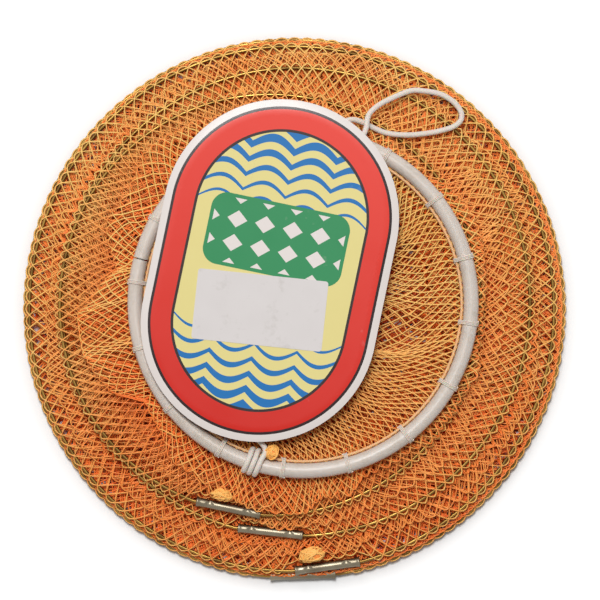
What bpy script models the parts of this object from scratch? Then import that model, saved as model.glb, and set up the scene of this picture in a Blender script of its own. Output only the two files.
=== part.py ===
"""Fishing keepnet, folded flat: four tiers of orange netting between wire hoops and a plastic mouth ring.

Metres, +Z up. The origin is the centre of the base hoop, on the surface that the net lies on.
The bodies slide apart along +Z, and each one hangs from an empty on its own sliding axis.
"""

import math
from collections import namedtuple

import bmesh
import bpy
from mathutils import Matrix, Vector

MM = 0.001

# General
CLEARANCE = 0.3 * MM  # between neighbours that touch on the real net
WELD_DISTANCE = 0.001 * MM  # between mesh points that are one point

# Wire hoops and the sleeves that close them
WIRE_DIAMETER = 1.6 * MM
HOOP_STEPS = 48
WIRE_END_GAP = 1.0 * MM  # between the two wire ends inside a sleeve
WIRE_KINK_OFFSET = 1.5 * MM  # from the sleeve's mouth to where the wire straightens
BASE_HOOP_RADIUS = 119.2 * MM
BASE_FERRULE_ANGLE = -88.2
HOOP_3_TAPER = 3.0 * MM  # by which each hoop's radius is less than the one's below
HOOP_3_CENTRE = (-1.3 * MM, 0.0)  # where each hoop lies in the folded heap
HOOP_3_FERRULE_ANGLE = -82.1
HOOP_2_TAPER = 12.7 * MM
HOOP_2_CENTRE = (0.7 * MM, 3.0 * MM)
HOOP_2_FERRULE_ANGLE = -96.4
HOOP_1_TAPER = 10.6 * MM
HOOP_1_CENTRE = (-10.8 * MM, 1.7 * MM)
HOOP_1_FERRULE_ANGLE = -101.6
FERRULE_LENGTH = 29.0 * MM
FERRULE_DIAMETER = 4.0 * MM
FERRULE_FLARE_DIAMETER = 4.6 * MM
FERRULE_FLARE_LENGTH = 1.8 * MM
FERRULE_CRIMP_INSET = 6.0 * MM  # from a sleeve's mouth to the middle of its crimp
FERRULE_CRIMP_WIDTH = 3.2 * MM
FERRULE_CRIMP_DEPTH = 0.25 * MM
FERRULE_SIDES = 12

# Netting
NET_LAYER = 0.7 * MM  # one layer of netting, as a plain sheet
NET_STEPS = 48
FOLD_RISE = 0.35 * MM  # how much the folded edge stands above its lower layer
FOLD_NOSE = 2.0 * MM
CREASE_SHARE = 0.6  # of the fold's height, up to the crease between its layers
TIER_4_FOLD_DEPTH = 28.0 * MM
TIER_3_FOLD_DEPTH = 28.0 * MM
TIER_2_FOLD_DEPTH = 28.0 * MM
THROAT_RADIUS = 33.0 * MM  # free passage inside the top tier's fold
BOTTOM_CELLS_ROUND = 20
BOTTOM_CELLS_ACROSS = 5
BOTTOM_CORE_RADIUS = 8.0 * MM
BOTTOM_STRAND_WIDTH = 1.6 * MM

# Mouth ring, a plastic tube closed by a plug
RING_RADIUS = 74.05 * MM
RING_PLACE = (3.8 * MM, 2.7 * MM)
RING_TUBE_DIAMETER = 6.6 * MM
RING_WALL = 0.9 * MM
RING_SIDES = 10
RING_STEPS = 44
RING_BUTT_ANGLE = 165.0
RING_BUTT_GAP = 0.6 * MM
PLUG_LENGTH = 30.0 * MM
PLUG_SIDES = 8
PLUG_STEPS = 4
HEAD_LINE_DIAMETER = 1.2 * MM
HEAD_LINE_STEPS = 60

# Twine ties round the mouth ring
TIE_COUNT = 16
TIE_FIRST_ANGLE = -97.0
TIE_TWINE_DIAMETER = 0.6 * MM
TIE_TURNS = 2.0
TIE_TURN_GAP = 0.45 * MM
TIE_POINTS = 9  # for each turn

# Handle cord
CORD_DIAMETER = 2.4 * MM
CORD_POINT_SPACING = 5.0 * MM
CORD_NEAR_KNOT_ANGLE = 252.6
CORD_FAR_KNOT_ANGLE = 72.6
KNOT_TURNS = 1.25
KNOT_TURN_GAP = 0.5 * MM
KNOT_POINTS = 12  # for each turn
KNOT_START = 20.0  # degrees from the ring's crown to where the cord meets its winding
CORD_LEAD = 6.0 * MM  # straight run of cord before each winding

# Seam knots, lumps of drawn-up netting: along the rim that they lie against, and across it
SEAM_KNOT_HEIGHT = 4.0 * MM
OUTER_KNOT_LENGTH = 11.0 * MM
OUTER_KNOT_WIDTH = 6.6 * MM
OUTER_KNOT_ANGLE = -85.3
MIDDLE_KNOT_LENGTH = 9.0 * MM
MIDDLE_KNOT_WIDTH = 5.0 * MM
MIDDLE_KNOT_ANGLE = -104.2
INNER_KNOT_LENGTH = 6.0 * MM
INNER_KNOT_WIDTH = 6.4 * MM
INNER_KNOT_ANGLE = -101.8

# Label card and the blank sticker on it
CARD_WIDTH = 103.7 * MM
CARD_LENGTH = 151.5 * MM
CARD_THICKNESS = 0.6 * MM
CARD_TILT = -11.8
CARD_CENTRE = Vector((-10.8 * MM, 16.8 * MM, 0))
CARD_END_STEPS = 16
STICKER_WIDTH = 57.5 * MM
STICKER_LENGTH = 31.0 * MM
STICKER_THICKNESS = 0.2 * MM
STICKER_CENTRE = Vector((-15.2 * MM, -0.5 * MM, 0))
STICKER_TILT = -6.0

# Radii
HOOP_3_RADIUS = BASE_HOOP_RADIUS - HOOP_3_TAPER
HOOP_2_RADIUS = HOOP_3_RADIUS - HOOP_2_TAPER
HOOP_1_RADIUS = HOOP_2_RADIUS - HOOP_1_TAPER
WIRE_RADIUS = WIRE_DIAMETER / 2
FLARE_RADIUS = FERRULE_FLARE_DIAMETER / 2
TUBE_RADIUS = RING_TUBE_DIAMETER / 2
CORD_RADIUS = CORD_DIAMETER / 2
HEAD_LINE_RADIUS = HEAD_LINE_DIAMETER / 2
TIE_RADIUS = TIE_TWINE_DIAMETER / 2

# Heights, from the sleeves upwards
FOLD_HEIGHT = NET_LAYER + FOLD_RISE
HOOP_PITCH = FLARE_RADIUS + FOLD_HEIGHT + 1.5 * CLEARANCE
BASE_HEIGHT = FLARE_RADIUS
BOTTOM_THICKNESS = BASE_HEIGHT - WIRE_RADIUS - CLEARANCE

Hoop = namedtuple("Hoop", "name centre radius ferrule_angle")


def stacked_hoop(name, place_in_heap, level, radius, ferrule_angle):
    """Hoop that lies on the given level of the folded heap, counted from the base hoop."""
    centre = Vector((*place_in_heap, BASE_HEIGHT + level * HOOP_PITCH))
    return Hoop(name, centre, radius, ferrule_angle)


BASE_HOOP = stacked_hoop("base_hoop", (0.0, 0.0), 0, BASE_HOOP_RADIUS, BASE_FERRULE_ANGLE)
HOOP_3 = stacked_hoop("hoop_3", HOOP_3_CENTRE, 1, HOOP_3_RADIUS, HOOP_3_FERRULE_ANGLE)
HOOP_2 = stacked_hoop("hoop_2", HOOP_2_CENTRE, 2, HOOP_2_RADIUS, HOOP_2_FERRULE_ANGLE)
HOOP_1 = stacked_hoop("hoop_1", HOOP_1_CENTRE, 3, HOOP_1_RADIUS, HOOP_1_FERRULE_ANGLE)


def wrap_radius(core_radius, thread_radius, points):
    """Radius of a winding's middle line, so that its straight chords still clear the core."""
    return (core_radius + CLEARANCE + thread_radius) / math.cos(math.pi / points)


HEAD_LINE_OFFSET = TUBE_RADIUS + CLEARANCE + HEAD_LINE_RADIUS  # inwards from the tube's middle line
KNOT_REACH_UP = wrap_radius(TUBE_RADIUS, CORD_RADIUS, KNOT_POINTS) + CORD_RADIUS
TIE_REACH_UP = wrap_radius(TUBE_RADIUS, TIE_RADIUS, TIE_POINTS) + TIE_RADIUS
KNOT_REACH_IN = HEAD_LINE_OFFSET + wrap_radius(HEAD_LINE_RADIUS, CORD_RADIUS, KNOT_POINTS) + CORD_RADIUS
TIE_REACH_IN = HEAD_LINE_OFFSET + wrap_radius(HEAD_LINE_RADIUS, TIE_RADIUS, TIE_POINTS) + TIE_RADIUS
WRAP_REACH = max(KNOT_REACH_UP, TIE_REACH_UP)
RING_HEIGHT = HOOP_1.centre.z + FOLD_HEIGHT + 1.5 * CLEARANCE + WRAP_REACH
RING_CENTRE = Vector((*RING_PLACE, RING_HEIGHT))
CARD_HEIGHT = RING_HEIGHT + WRAP_REACH + CLEARANCE

# The cord's route from the far knot, over its slack loop, to the near knot: x, y and the height
# over the ring's middle, in millimetres
CORD_ROUTE = [
    (32.6, 85.2, 0.4),
    (36.9, 89.6, -2.2),
    (44.4, 93.6, -5.4),
    (51.5, 96.3, -7.5),
    (57.2, 96.2, -8.5),
    (64.3, 94.9, -9.2),
    (70.1, 91.6, -9.7),
    (73.6, 87.0, -9.7),
    (73.4, 83.2, -9.1),
    (70.0, 80.4, -8.4),
    (65.0, 78.8, -8.0),
    (60.8, 77.9, -7.6),
    (53.3, 76.9, -6.4),
    (46.2, 76.8, -4.7),
    (40.0, 77.7, -3.9),
    (34.8, 79.8, -2.8),
    (30.0, 82.2, -1.1),
    (25.0, 83.3, 1.0),
    (20.3, 81.2, 3.3),
    (17.3, 77.0, 4.9),
    (14.8, 71.5, 4.1),
    (9.0, 64.5, 2.0),
    (-2.0, 57.5, -0.1),
    (-18.0, 48.0, -1.4),
    (-32.0, 34.0, -2.4),
    (-40.0, 15.0, -3.1),
    (-42.0, -5.0, -3.1),
    (-38.0, -25.0, -2.1),
    (-31.0, -42.0, -0.3),
    (-22.0, -52.0, 1.1),
    (-16.4, -57.0, 1.9),
]


def polar(radius, degrees, height=0.0):
    """Point at a radius and an angle in degrees about the Z axis."""
    turn = math.radians(degrees)
    return Vector((radius * math.cos(turn), radius * math.sin(turn), height))


def angle_between(first, second):
    """Size of the turn between two directions in degrees."""
    return abs((first - second + 180.0) % 360.0 - 180.0)


def linear(channel):
    """Linear value of an sRGB channel from 0 to 255."""
    share = channel / 255
    return share / 12.92 if share <= 0.04045 else ((share + 0.055) / 1.055) ** 2.4


def finish(name, colour, roughness, metallic=0.0):
    """Material with an sRGB colour, a roughness and a metallic value."""
    material = bpy.data.materials.new(name)
    material.use_nodes = True
    surface = material.node_tree.nodes["Principled BSDF"]
    surface.inputs["Base Color"].default_value = (*(linear(channel) for channel in colour), 1)
    surface.inputs["Roughness"].default_value = roughness
    surface.inputs["Metallic"].default_value = metallic
    return material


def frame_empty(name, location):
    """Empty on a body's sliding axis."""
    empty = bpy.data.objects.new(name, None)
    empty.location = location
    empty.empty_display_size = 0.02
    bpy.context.collection.objects.link(empty)
    return empty


def place(name, data, material, parent, location=(0, 0, 0), turn=0.0):
    """Object from a mesh or a curve, placed in its parent empty's frame."""
    obj = bpy.data.objects.new(name, data)
    bpy.context.collection.objects.link(obj)
    obj.parent = parent
    obj.location = location
    obj.rotation_euler.z = math.radians(turn)
    if not data.materials:
        data.materials.append(material)
    return obj


def mesh_from(bm, name, sharp_angle=40.0):
    """Mesh with outward normals and smooth round faces, from a finished bmesh."""
    bmesh.ops.recalc_face_normals(bm, faces=bm.faces[:])
    mesh = bpy.data.meshes.new(name)
    bm.to_mesh(mesh)
    bm.free()
    mesh.shade_smooth()
    mesh.set_sharp_from_angle(angle=math.radians(sharp_angle))
    return mesh


def tube(name, points, radius, bevel_resolution, closed=False):
    """Curve with a round section through the given points."""
    curve = bpy.data.curves.new(name, "CURVE")
    curve.dimensions = "3D"
    curve.bevel_depth = radius
    curve.bevel_resolution = bevel_resolution
    curve.use_fill_caps = True
    spline = curve.splines.new("POLY")
    spline.points.add(len(points) - 1)
    for slot, point in zip(spline.points, points):
        slot.co = (*point, 1)
    spline.use_cyclic_u = closed
    return curve


def closed_loft(name, rings, sharp_angle=40.0):
    """Mesh that joins each ring of points to the next and the last one to the first."""
    ring_count = len(rings)
    point_count = len(rings[0])
    bm = bmesh.new()
    bmesh.ops.create_grid(bm, x_segments=ring_count, y_segments=point_count, size=0.5)
    for vertex in bm.verts:
        ring = rings[round((vertex.co.x + 0.5) * ring_count) % ring_count]
        vertex.co = ring[round((vertex.co.y + 0.5) * point_count) % point_count]
    bmesh.ops.remove_doubles(bm, verts=bm.verts[:], dist=WELD_DISTANCE)
    return mesh_from(bm, name, sharp_angle)


def smooth_route(points, spacing):
    """Evenly spaced points on a Catmull-Rom curve through the given points."""
    padded = [2 * points[0] - points[1], *points, 2 * points[-1] - points[-2]]
    fine = []
    samples = 24
    for before, start, end, after in zip(padded, padded[1:], padded[2:], padded[3:]):
        for step in range(samples):
            t = step / samples
            fine.append(
                0.5
                * (
                    2 * start
                    + (end - before) * t
                    + (2 * before - 5 * start + 4 * end - after) * t**2
                    + (3 * start - before - 3 * end + after) * t**3
                )
            )
    fine.append(points[-1])
    lengths = [0.0]
    for first, second in zip(fine, fine[1:]):
        lengths.append(lengths[-1] + (second - first).length)
    count = round(lengths[-1] / spacing)
    route = []
    at = 0
    for number in range(count + 1):
        wanted = lengths[-1] * number / count
        while at < len(fine) - 2 and lengths[at + 1] < wanted:
            at += 1
        share = (wanted - lengths[at]) / (lengths[at + 1] - lengths[at])
        route.append(fine[at].lerp(fine[at + 1], min(1.0, share)))
    return route, lengths[-1]


def segment_distance(a, b, c, d):
    """Least distance between two straight segments, sampled finely."""
    steps = 12
    first = [a.lerp(b, i / steps) for i in range(steps + 1)]
    second = [c.lerp(d, i / steps) for i in range(steps + 1)]
    return min((p - q).length for p in first for q in second)


def print_least_gap(name, points, radius, skip):
    """Print the least gap between parts of one tube that are more than skip points apart."""
    pairs = list(zip(points, points[1:]))
    least = min(
        segment_distance(*pairs[i], *pairs[j])
        for i in range(len(pairs))
        for j in range(i + skip, len(pairs))
    )
    print(f"{name}: least gap to itself {(least - 2 * radius) * 1000:.2f} mm")


def sleeve_half_angle(hoop):
    """Half the angle, in degrees, over which a hoop's wire runs straight for its sleeve."""
    return math.degrees(math.asin((FERRULE_LENGTH / 2 + WIRE_KINK_OFFSET) / hoop.radius))


def sleeve_radius(hoop):
    """Distance from a hoop's centre to the middle of its sleeve, which lies on a chord."""
    return hoop.radius * math.cos(math.radians(sleeve_half_angle(hoop)))


def make_hoop(hoop, parent, wire, sleeve_mesh, sleeve_finish):
    """A wire hoop whose ends meet inside a straight crimped sleeve."""
    half = sleeve_half_angle(hoop)
    middle = polar(sleeve_radius(hoop), hoop.ferrule_angle)
    along = polar(WIRE_END_GAP / 2, hoop.ferrule_angle + 90)
    sweep = 360 - 2 * half
    arc = [
        polar(hoop.radius, hoop.ferrule_angle + half + sweep * step / HOOP_STEPS)
        for step in range(HOOP_STEPS + 1)
    ]
    points = [middle + along, *arc, middle - along]
    place(hoop.name, tube(hoop.name, points, WIRE_RADIUS, 1), wire, parent)
    place(f"{hoop.name}_ferrule", sleeve_mesh, sleeve_finish, parent, middle, hoop.ferrule_angle + 90)


def ferrule_mesh():
    """Straight sleeve along X, flared at both mouths and crimped near each of them."""
    end = FERRULE_LENGTH / 2
    body = FERRULE_DIAMETER / 2
    crimp = end - FERRULE_CRIMP_INSET
    half_crimp = FERRULE_CRIMP_WIDTH / 2
    side = [
        (end, FLARE_RADIUS),
        (end - FERRULE_FLARE_LENGTH, body),
        (crimp + half_crimp, body),
        (crimp, body - FERRULE_CRIMP_DEPTH),
        (crimp - half_crimp, body),
    ]
    bore = (WIRE_RADIUS + CLEARANCE) / math.cos(math.pi / FERRULE_SIDES)
    profile = [(-x, r) for x, r in side] + side[::-1] + [(end, bore), (-end, bore)]
    rings = []
    for x, radius in profile:
        turns = (2 * math.pi * step / FERRULE_SIDES for step in range(FERRULE_SIDES))
        rings.append([Vector((x, radius * math.cos(turn), radius * math.sin(turn))) for turn in turns])
    return closed_loft("ferrule", rings, 25.0)


def hoop_rim(hoop):
    """Function from an angle to the netting's edge inside a hoop, drawn in round its sleeve."""
    plain = hoop.radius * math.cos(math.pi / HOOP_STEPS) - WIRE_RADIUS - CLEARANCE
    at_sleeve = sleeve_radius(hoop) - FLARE_RADIUS - CLEARANCE
    reach = sleeve_half_angle(hoop) + 360 / NET_STEPS

    def radius(degrees):
        return at_sleeve if angle_between(degrees, hoop.ferrule_angle) < reach else plain

    return radius


def ring_rim(degrees):
    """The netting's edge inside the mouth ring, drawn in at the two cord windings."""
    half_width = (KNOT_TURNS * (CORD_DIAMETER + KNOT_TURN_GAP)) / 2 + CORD_RADIUS
    reach = math.degrees(half_width / RING_RADIUS) + 360 / NET_STEPS
    knots = (CORD_NEAR_KNOT_ANGLE, CORD_FAR_KNOT_ANGLE)
    at_knot = any(angle_between(degrees, knot) < reach for knot in knots)
    return RING_RADIUS - (max(KNOT_REACH_IN, TIE_REACH_IN) if at_knot else TIE_REACH_IN) - CLEARANCE


def net_ring(centre, radius, height, origin):
    """One ring of netting points about a centre, in the frame of an origin."""
    points = []
    for step in range(NET_STEPS):
        degrees = 360 * step / NET_STEPS
        reach = radius(degrees) if callable(radius) else radius
        point = polar(reach, degrees, height - origin.z)
        points.append(point + Vector((centre.x - origin.x, centre.y - origin.y, 0)))
    return points


def make_tier(name, lower, upper, fold_radius, netting, parent):
    """A tier of netting: it runs in from the lower hoop, folds, and runs back out to the upper one.

    lower and upper are each a centre, an edge radius function and the height of the sheet's free side.
    """
    low_centre, low_rim, low_height = lower
    high_centre, high_rim, high_height = upper
    fold_centre = (low_centre + high_centre) / 2
    crease_height = low_height + CREASE_SHARE * FOLD_HEIGHT
    stations = [
        (low_centre, low_rim, low_height),
        (fold_centre, fold_radius + FOLD_NOSE, low_height),
        (fold_centre, fold_radius, low_height + FOLD_HEIGHT / 2),
        (fold_centre, fold_radius + FOLD_NOSE, low_height + FOLD_HEIGHT),
        (high_centre, high_rim, high_height),
        (high_centre, high_rim, high_height - NET_LAYER),
        (fold_centre, fold_radius + 2 * FOLD_NOSE, crease_height),
        (low_centre, low_rim, low_height + NET_LAYER),
    ]
    rings = [net_ring(centre, radius, height, low_centre) for centre, radius, height in stations]
    place(name, closed_loft(name, rings), netting, parent)


def make_hoop_tier(name, lower_hoop, upper_hoop, fold_depth, netting, parent):
    """A tier of netting between two wire hoops."""
    lower = (lower_hoop.centre, hoop_rim(lower_hoop), lower_hoop.centre.z + CLEARANCE / 2)
    upper = (upper_hoop.centre, hoop_rim(upper_hoop), upper_hoop.centre.z - CLEARANCE / 2)
    fold_radius = min(lower_hoop.radius, upper_hoop.radius) - fold_depth
    make_tier(name, lower, upper, fold_radius, netting, parent)


def make_throat(netting, parent):
    """The top tier of netting, from the topmost hoop in to the throat and out to the mouth ring."""
    lower = (HOOP_1.centre, hoop_rim(HOOP_1), HOOP_1.centre.z + CLEARANCE / 2)
    upper = (RING_CENTRE, ring_rim, RING_CENTRE.z + NET_LAYER / 2)
    make_tier("tier_1_net", lower, upper, THROAT_RADIUS, netting, parent)


def make_bottom(netting, parent):
    """The flat bottom net: diamond meshes about a solid gathered core, notched for the base sleeve."""
    bm = bmesh.new()
    bmesh.ops.create_grid(bm, x_segments=BOTTOM_CELLS_ROUND, y_segments=BOTTOM_CELLS_ACROSS, size=0.5)
    at_sleeve = sleeve_radius(BASE_HOOP) - FLARE_RADIUS - CLEARANCE
    reach = sleeve_half_angle(BASE_HOOP) + 360 / BOTTOM_CELLS_ROUND
    for vertex in bm.verts:
        degrees = 360 * (vertex.co.x + 0.5)
        edge = at_sleeve if angle_between(degrees, BASE_HOOP.ferrule_angle) < reach else BASE_HOOP.radius
        radius = BOTTOM_CORE_RADIUS + (edge - BOTTOM_CORE_RADIUS) * (vertex.co.y + 0.5)
        vertex.co = polar(radius, degrees)
    bmesh.ops.remove_doubles(bm, verts=bm.verts[:], dist=WELD_DISTANCE)
    cell_edges = [edge for edge in bm.edges if not edge.is_boundary]
    bmesh.ops.poke(bm, faces=bm.faces[:])
    bmesh.ops.dissolve_edges(bm, edges=cell_edges, use_verts=False)
    knots = bm.verts[:]
    made = bmesh.ops.inset_individual(bm, faces=bm.faces[:], thickness=BOTTOM_STRAND_WIDTH / 2)
    gaps = [face for face in bm.faces if face not in set(made["faces"])]
    bmesh.ops.delete(bm, geom=gaps, context="FACES_ONLY")
    core_edges = [
        edge
        for edge in bm.edges
        if edge.is_boundary and all(v.co.length < BOTTOM_CORE_RADIUS + WELD_DISTANCE for v in edge.verts)
    ]
    bmesh.ops.contextual_create(bm, geom=core_edges)
    top = bmesh.ops.duplicate(bm, geom=bm.verts[:] + bm.edges[:] + bm.faces[:])
    raised = {top["vert_map"][vertex] for vertex in knots}
    for vertex in raised:
        vertex.co.z += BOTTOM_THICKNESS
    rim_knots = [v for v in (*knots, *raised) if v.co.xy.length > at_sleeve - WELD_DISTANCE]
    rims = [edge for edge in bm.edges if edge.is_boundary and all(v in rim_knots for v in edge.verts)]
    bmesh.ops.bridge_loops(bm, edges=rims)
    bmesh.ops.remove_doubles(bm, verts=bm.verts[:], dist=WELD_DISTANCE)
    mesh = mesh_from(bm, "net_bottom", 20.0)
    place("net_bottom", mesh, netting, parent, (0, 0, -BASE_HEIGHT))


def make_ring(plastic, plug_finish, parent):
    """The mouth ring, a bent tube whose ends butt on a plug."""
    gap = math.degrees(RING_BUTT_GAP / RING_RADIUS)
    bore = TUBE_RADIUS - RING_WALL
    start = RING_BUTT_ANGLE + gap / 2
    bm = bmesh.new()
    edges = []
    for radius in (TUBE_RADIUS, bore):
        made = bmesh.ops.create_circle(bm, segments=RING_SIDES, radius=radius)
        for vertex in made["verts"]:
            vertex.co = polar(RING_RADIUS + vertex.co.x, start, vertex.co.y)
        edges += {edge for vertex in made["verts"] for edge in vertex.link_edges}
    bmesh.ops.bridge_loops(bm, edges=edges)
    sweep = math.radians(360 - gap)
    geom = bm.verts[:] + bm.edges[:] + bm.faces[:]
    bmesh.ops.spin(bm, geom=geom, cent=(0, 0, 0), axis=(0, 0, 1), angle=sweep, steps=RING_STEPS)
    place("mouth_ring", mesh_from(bm, "mouth_ring"), plastic, parent)

    facet_loss = RING_RADIUS * (1 - math.cos(math.pi / RING_STEPS))
    plug_radius = bore * math.cos(math.pi / RING_SIDES) - facet_loss - CLEARANCE
    plug_sweep = math.degrees(PLUG_LENGTH / RING_RADIUS)
    bm = bmesh.new()
    made = bmesh.ops.create_circle(bm, segments=PLUG_SIDES, radius=plug_radius, cap_ends=True)
    for vertex in made["verts"]:
        vertex.co = polar(RING_RADIUS + vertex.co.x, RING_BUTT_ANGLE - plug_sweep / 2, vertex.co.y)
    geom = bm.verts[:] + bm.edges[:] + bm.faces[:]
    plug_turn = math.radians(plug_sweep)
    bmesh.ops.spin(bm, geom=geom, cent=(0, 0, 0), axis=(0, 0, 1), angle=plug_turn, steps=PLUG_STEPS)
    place("ring_plug", mesh_from(bm, "ring_plug"), plug_finish, parent)


def make_head_line(twine, parent):
    """The net's head line, inside the mouth ring under the ties."""
    radius = RING_RADIUS - HEAD_LINE_OFFSET
    points = [polar(radius, 360 * step / HEAD_LINE_STEPS) for step in range(HEAD_LINE_STEPS)]
    place("head_line", tube("head_line", points, HEAD_LINE_RADIUS, 1, closed=True), twine, parent)


def winding(thread_radius, turns, turn_gap, points_per_turn, start, sense):
    """Points of a winding round the ring's tube and the head line.

    X is outwards and Z is up from the tube's middle line, and the turns step along Y. start is in
    degrees from +X towards +Z, and sense is 1 or -1, the way that the winding goes round.
    """
    tube_wrap = wrap_radius(TUBE_RADIUS, thread_radius, points_per_turn)
    line_wrap = wrap_radius(HEAD_LINE_RADIUS, thread_radius, points_per_turn)
    tangent_limit = -(TUBE_RADIUS - HEAD_LINE_RADIUS) / HEAD_LINE_OFFSET
    pitch = 2 * thread_radius + turn_gap
    count = round(turns * points_per_turn)
    points = []
    for number in range(count + 1):
        share = number / count
        normal = math.radians(start + sense * 360 * turns * share)
        on_line = math.cos(normal) < tangent_limit
        reach = line_wrap if on_line else tube_wrap
        x = reach * math.cos(normal) - (HEAD_LINE_OFFSET if on_line else 0)
        points.append(Vector((x, sense * pitch * turns * (share - 0.5), reach * math.sin(normal))))
    return points


def make_ties(twine, parent):
    """The twine windings that hold the head line to the mouth ring, all on one curve."""
    points = winding(TIE_RADIUS, TIE_TURNS, TIE_TURN_GAP, TIE_POINTS, 180.0, 1)
    print_least_gap("net_tie", points, TIE_RADIUS, 3)
    curve = tube("net_tie", points, TIE_RADIUS, 1)
    for number in range(TIE_COUNT):
        degrees = TIE_FIRST_ANGLE + 360 * number / TIE_COUNT
        place(f"net_tie_{number + 1:02d}", curve, twine, parent, polar(RING_RADIUS, degrees), degrees)


def cord_end(knot_angle, points):
    """The cord's last two points before a winding, in line with the winding's first run."""
    along = (points[0] - points[1]).normalized()
    ends = []
    for distance in (CORD_LEAD, CLEARANCE):
        local = points[0] + along * distance
        out = polar(1, knot_angle)
        side = polar(1, knot_angle + 90)
        ends.append(polar(RING_RADIUS, knot_angle) + out * local.x + side * local.y + Vector((0, 0, local.z)))
    return ends


def make_handle(cord, parent):
    """The handle cord, wound round the ring at two opposite points, with a slack loop between them."""
    near = winding(CORD_RADIUS, KNOT_TURNS, KNOT_TURN_GAP, KNOT_POINTS, 90.0 + KNOT_START, -1)
    far = winding(CORD_RADIUS, KNOT_TURNS, KNOT_TURN_GAP, KNOT_POINTS, 90.0 - KNOT_START, 1)
    knots = (
        ("handle_knot_near", near, CORD_NEAR_KNOT_ANGLE),
        ("handle_knot_far", far, CORD_FAR_KNOT_ANGLE),
    )
    for name, points, degrees in knots:
        print_least_gap(name, points, CORD_RADIUS, 4)
        place(name, tube(name, points, CORD_RADIUS, 1), cord, parent, polar(RING_RADIUS, degrees), degrees)
    route = [
        Vector((x * MM - RING_CENTRE.x, y * MM - RING_CENTRE.y, height * MM)) for x, y, height in CORD_ROUTE
    ]
    far_ends = cord_end(CORD_FAR_KNOT_ANGLE, far)
    near_ends = cord_end(CORD_NEAR_KNOT_ANGLE, near)
    through = [far_ends[1], far_ends[0], *route, near_ends[0], near_ends[1]]
    points, length = smooth_route(through, CORD_POINT_SPACING)
    print(f"handle_cord: {length * 1000:.0f} mm long, {len(points)} points")
    print_least_gap("handle_cord", points, CORD_RADIUS, 4)
    place("handle_cord", tube("handle_cord", points, CORD_RADIUS, 2), cord, parent)


def make_seam_knot(name, length, width, angle, wall, underside, netting, parent):
    """A lump where the netting's seam is drawn together and knotted.

    wall is the radius, about the parent's axis, of the sleeve or tube that it lies against, and
    underside is its lowest point above the parent's origin.
    """
    bm = bmesh.new()
    bmesh.ops.create_icosphere(bm, subdivisions=2, radius=0.5)
    bmesh.ops.scale(bm, vec=(length, width, SEAM_KNOT_HEIGHT), verts=bm.verts[:])
    location = polar(wall - CLEARANCE - width / 2, angle, underside + SEAM_KNOT_HEIGHT / 2)
    place(name, mesh_from(bm, name, 60.0), netting, parent, location, angle + 90)


def make_seam_knots(netting, frames, ring_frame):
    """The three lumps of the netting's seam, each lying on the layer below it."""
    on_tier = FOLD_HEIGHT + 1.5 * CLEARANCE
    hoop_knots = (
        ("seam_knot_outer", OUTER_KNOT_LENGTH, OUTER_KNOT_WIDTH, OUTER_KNOT_ANGLE, HOOP_3),
        ("seam_knot_middle", MIDDLE_KNOT_LENGTH, MIDDLE_KNOT_WIDTH, MIDDLE_KNOT_ANGLE, HOOP_1),
    )
    for name, length, width, angle, hoop in hoop_knots:
        wall = sleeve_radius(hoop) - FLARE_RADIUS
        make_seam_knot(name, length, width, angle, wall, on_tier, netting, frames[hoop.name])
    tube_wall = RING_RADIUS - TUBE_RADIUS
    on_line = HEAD_LINE_RADIUS + CLEARANCE
    make_seam_knot(
        "seam_knot_inner",
        INNER_KNOT_LENGTH,
        INNER_KNOT_WIDTH,
        INNER_KNOT_ANGLE,
        tube_wall,
        on_line,
        netting,
        ring_frame,
    )


def make_label(print_finish, sticker_finish, parent):
    """The label card, a strip with round ends, and the blank sticker on it."""
    bm = bmesh.new()
    half_step = math.pi / CARD_END_STEPS / 2
    radius = CARD_WIDTH / 2 / math.cos(half_step)
    bmesh.ops.create_circle(bm, segments=2 * CARD_END_STEPS, radius=radius, cap_ends=True)
    bmesh.ops.rotate(bm, verts=bm.verts[:], matrix=Matrix.Rotation(half_step, 3, "Z"))
    for vertex in bm.verts:
        vertex.co.y += math.copysign(CARD_LENGTH / 2 - CARD_WIDTH / 2, vertex.co.y)
    made = bmesh.ops.extrude_face_region(bm, geom=bm.faces[:])
    top = [item for item in made["geom"] if isinstance(item, bmesh.types.BMVert)]
    bmesh.ops.translate(bm, verts=top, vec=(0, 0, CARD_THICKNESS))
    place("label_card", mesh_from(bm, "label_card"), print_finish, parent, (0, 0, 0), CARD_TILT)

    bm = bmesh.new()
    bmesh.ops.create_cube(bm, size=1)
    bmesh.ops.scale(bm, vec=(STICKER_WIDTH, STICKER_LENGTH, STICKER_THICKNESS), verts=bm.verts[:])
    sticker_height = CARD_THICKNESS + CLEARANCE + STICKER_THICKNESS / 2
    offset = STICKER_CENTRE - CARD_CENTRE + Vector((0, 0, sticker_height))
    place("label_sticker", mesh_from(bm, "label_sticker"), sticker_finish, parent, offset, STICKER_TILT)


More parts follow.
